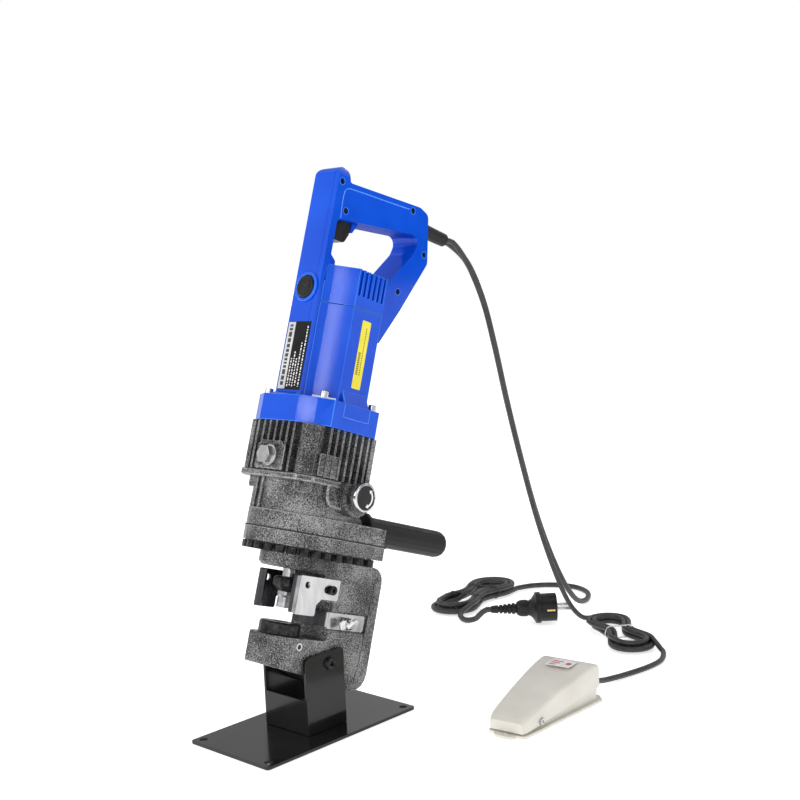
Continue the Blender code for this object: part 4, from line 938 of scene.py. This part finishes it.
def pedal_shell(bm, inset, top_drop, floor_front, floor_back, corner):
    """Tapered shell with a crowned top and rounded shoulders, lofted from the nose to the back."""
    steps, sections = 28, []
    low, high = PEDAL_FRONT + inset, PEDAL_BACK - inset
    for k in range(steps + 1):
        share = k / steps
        y = low + (high - low) * share
        half = pedal_half(y, inset)
        top = PEDAL_NOSE_Z + (PEDAL_TOP_Z - PEDAL_NOSE_Z) * (1 - (1 - share) ** 1.5) - top_drop
        ends = min(k, steps - k)
        if ends < 3:
            top -= (3.0, 0.9, 0.2)[ends]
            half -= (1.6, 0.4, 0.0)[ends]
        floor = floor_front + (floor_back - floor_front) * share
        ring = [(-half, floor)]
        for i in range(5):
            a = pi / 2 * i / 4
            ring.append((-half + corner * (1 - cos(a)), top - corner + corner * sin(a)))
        for i in range(5):
            a = pi / 2 * (1 - i / 4)
            ring.append((half - corner * (1 - cos(a)), top - corner + corner * sin(a)))
        ring.append((half, floor))
        sections.append([bm.verts.new((x, y, z)) for x, z in ring])
    faces = [bm.faces.new(sections[0]), bm.faces.new(sections[-1])]
    count = len(sections[0])
    for a, b in zip(sections, sections[1:]):
        faces += [bm.faces.new((a[i], a[(i + 1) % count], b[(i + 1) % count], b[i]))
                  for i in range(count)]
    bmesh.ops.recalc_face_normals(bm, faces=faces)
    return bm


def coil_spring(name, body, axis, at, low, high, radius, wire, turns):
    """A coil of wire along z in the frame `at`."""
    lap = 14
    steps = lap * turns
    path = [(axis[0] + radius * cos(tau * k / lap), axis[1] + radius * sin(tau * k / lap),
             low + wire + (high - low - 2 * wire) * k / steps) for k in range(steps + 1)]
    made = piece(f"{name}_coil", tube(bmesh.new(), path, wire, 8), body, "steel", at, stands_for=(name,))
    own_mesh(made)


def build_springs():
    coil_spring("return_spring", "tool", (0, 0), TOOL, 88.6, 105.4, 16.4, 1.3, 4)
    coil_spring("foot_switch_spring", "stand", (0, -2), PEDAL, 3.0, 26.4, 5.2, 0.8, 7)


def build_foot_switch():
    shell = pedal_shell(bmesh.new(), 0.0, 0.0, 4.4, 16.0, 3.2)
    treadle = piece("treadle_shell", shell, "treadle", "pedal", PEDAL, stands_for=("foot_switch_treadle",),
                    angle=50)
    carve(treadle, pedal_shell(bmesh.new(), 1.8, 2.0, -6.0, -6.0, 0.01), PEDAL)
    carve(treadle, rod(bmesh.new(), 2.4, -60, 60, "x", PEDAL_PIN, 16), PEDAL)
    carve(treadle, block(bmesh.new(), (5, 19), (60, 70), (-1, 24)), PEDAL)
    for side, hand in HANDS:
        x = side * (pedal_half(PEDAL_PIN[1]) + 0.4)
        head = [(0, x), (3.6, x), (3.6, x + side * 0.8), (3.0, x + side * 1.3), (1.6, x + side * 1.3),
                (1.6, x + side * 0.7), (0, x + side * 0.7)]
        piece(f"pedal_screw_{hand}", turned(bmesh.new(), head, "x", PEDAL_PIN, 24), "stand", "chrome", PEDAL)
    tag = prism(bmesh.new(), fillet([(-14, 34, 1), (14, 34, 1), (14, 54, 1), (-14, 54, 1)], 3), 0, 0.3)
    lean = Matrix.Translation(Vector((0.0, 0.0, 40.15)) * MM) @ Matrix.Rotation(radians(1.2), 4, "X")
    piece("pedal_tag", tag, "treadle", "print_white", PEDAL @ lean)
    rows = bmesh.new()
    for k in range(3):
        block(rows, (-11, -3 + 2 * k), (37 + 5 * k, 38.6 + 5 * k), (0.25, 0.5))
    rod(rows, 3.0, 0.25, 0.5, "z", (8.5, 44, 0), 24)
    piece("pedal_tag_rows", rows, "treadle", "print_red", PEDAL @ lean)


# ---- floor and light
GLINT_REACH = 1.4
FLOOR_GLOW = 0.62
LIGHTS = (("key", (-0.9, -2.2, 1.7), (0, 0, 0.3), (1.2, 1.2), 22.0),
          ("side", (2.2, 0.4, 1.3), (0, 0, 0.3), (0.5, 1.6), 4.0),
          ("front_strip", (1.15, -1.9, 0.5), (0, 0, 0.3), (0.16, 1.5), 6.0),
          ("top", (0.2, 0.3, 2.4), (0, 0.1, 0.3), (1.6, 1.6), 6.0))


def area_lamp(name, width, height, power):
    data = bpy.data.lights.new(name, "AREA")
    data.shape = "RECTANGLE"
    data.size, data.size_y = width, height
    data.energy = power
    return show(bpy.data.objects.new(name, data))


def glint(name, spot, low, high, normal, width, radiance):
    """A narrow lamp that stands where a flat facet of the tool mirrors it to the camera."""
    facing = (TOOL.to_3x3() @ Vector((*normal, 0.0))).normalized()
    ends = []
    for z in (low, high):
        at = on_tool(*spot, z) * MM
        ray = (at - EYE).normalized()
        ends.append(at + (ray - 2 * ray.dot(facing) * facing) * GLINT_REACH)
    middle = (ends[0] + ends[1]) / 2
    along = ends[1] - ends[0]
    back = (middle - on_tool(*spot, (low + high) / 2) * MM).normalized()
    side = along.cross(back).normalized()
    turn = Matrix((side, back.cross(side), back)).transposed()
    lamp = area_lamp(name, width, along.length, radiance * pi * width * along.length)
    lamp.matrix_world = Matrix.Translation(middle) @ turn.to_4x4()


def build_floor():
    bm = bmesh.new()
    block(bm, (-30000, 30000), (-30000, 30000), (-12, -0.6))
    floor = bpy.data.objects.new("floor", bpy.data.meshes.new("floor"))
    bm.transform(Matrix.Scale(MM, 4))
    bm.to_mesh(floor.data)
    bm.free()
    pale = surface("pale_floor", (0.93, 0.93, 0.93), (0.96, 0.96, 0.96), 3.0, (0.75, 0.9),
                   grain=(60.0, 0.02, 0.0005), specular=0.1)
    shader = pale.node_tree.nodes["Principled BSDF"]
    shader.inputs["Emission Color"].default_value = (1.0, 1.0, 1.0, 1.0)
    shader.inputs["Emission Strength"].default_value = FLOOR_GLOW
    floor.data.materials.append(pale)
    show(floor)


def build_world():
    """A plain white surround that lights the object like a room of large soft boxes."""
    world = bpy.data.worlds.new("studio")
    world.use_nodes = True
    tree = world.node_tree
    background = tree.nodes["Background"]
    background.inputs["Color"].default_value = (1.0, 1.0, 1.0, 1.0)
    around = tree.nodes.new("ShaderNodeTexCoord").outputs["Generated"]
    soft_boxes = spread(tree, noise(tree, around, 1.9, 1.0, 0.4), 0.05, 1.15)
    seen = tree.nodes.new("ShaderNodeLightPath")
    strength = tree.nodes.new("ShaderNodeMapRange")
    tree.links.new(soft_boxes, strength.inputs["To Min"])
    strength.inputs["To Max"].default_value = 1.0
    tree.links.new(seen.outputs["Is Camera Ray"], strength.inputs["Value"])
    tree.links.new(strength.outputs["Result"], background.inputs["Strength"])
    bpy.context.scene.world = world
    bpy.context.scene.view_settings.view_transform = "Standard"


def build_lights():
    for name, at, aim, (width, height), power in LIGHTS:
        lamp = area_lamp(name, width, height, power)
        lamp.location = at
        lamp.rotation_euler = (Vector(aim) - Vector(at)).to_track_quat("-Z", "Y").to_euler()
    glint("chamfer_glint", (27.5, -29.0), 250, 380, (15, -21), 0.02, 12.0)
    glint("collar_glint_front", (34.5, -47.2), 224, 248, (9.5, -17), 0.034, 14.0)


build_camera()
build_leads()
finish_own_parts()
build_handle()
build_handle_details()
build_labels()
build_motor_details()
build_casting_details()
build_flange_lines()
build_knob()
build_wing_screw()
build_frame_ribs()
build_springs()
build_foot_switch()
build_floor()
build_world()
build_lights()
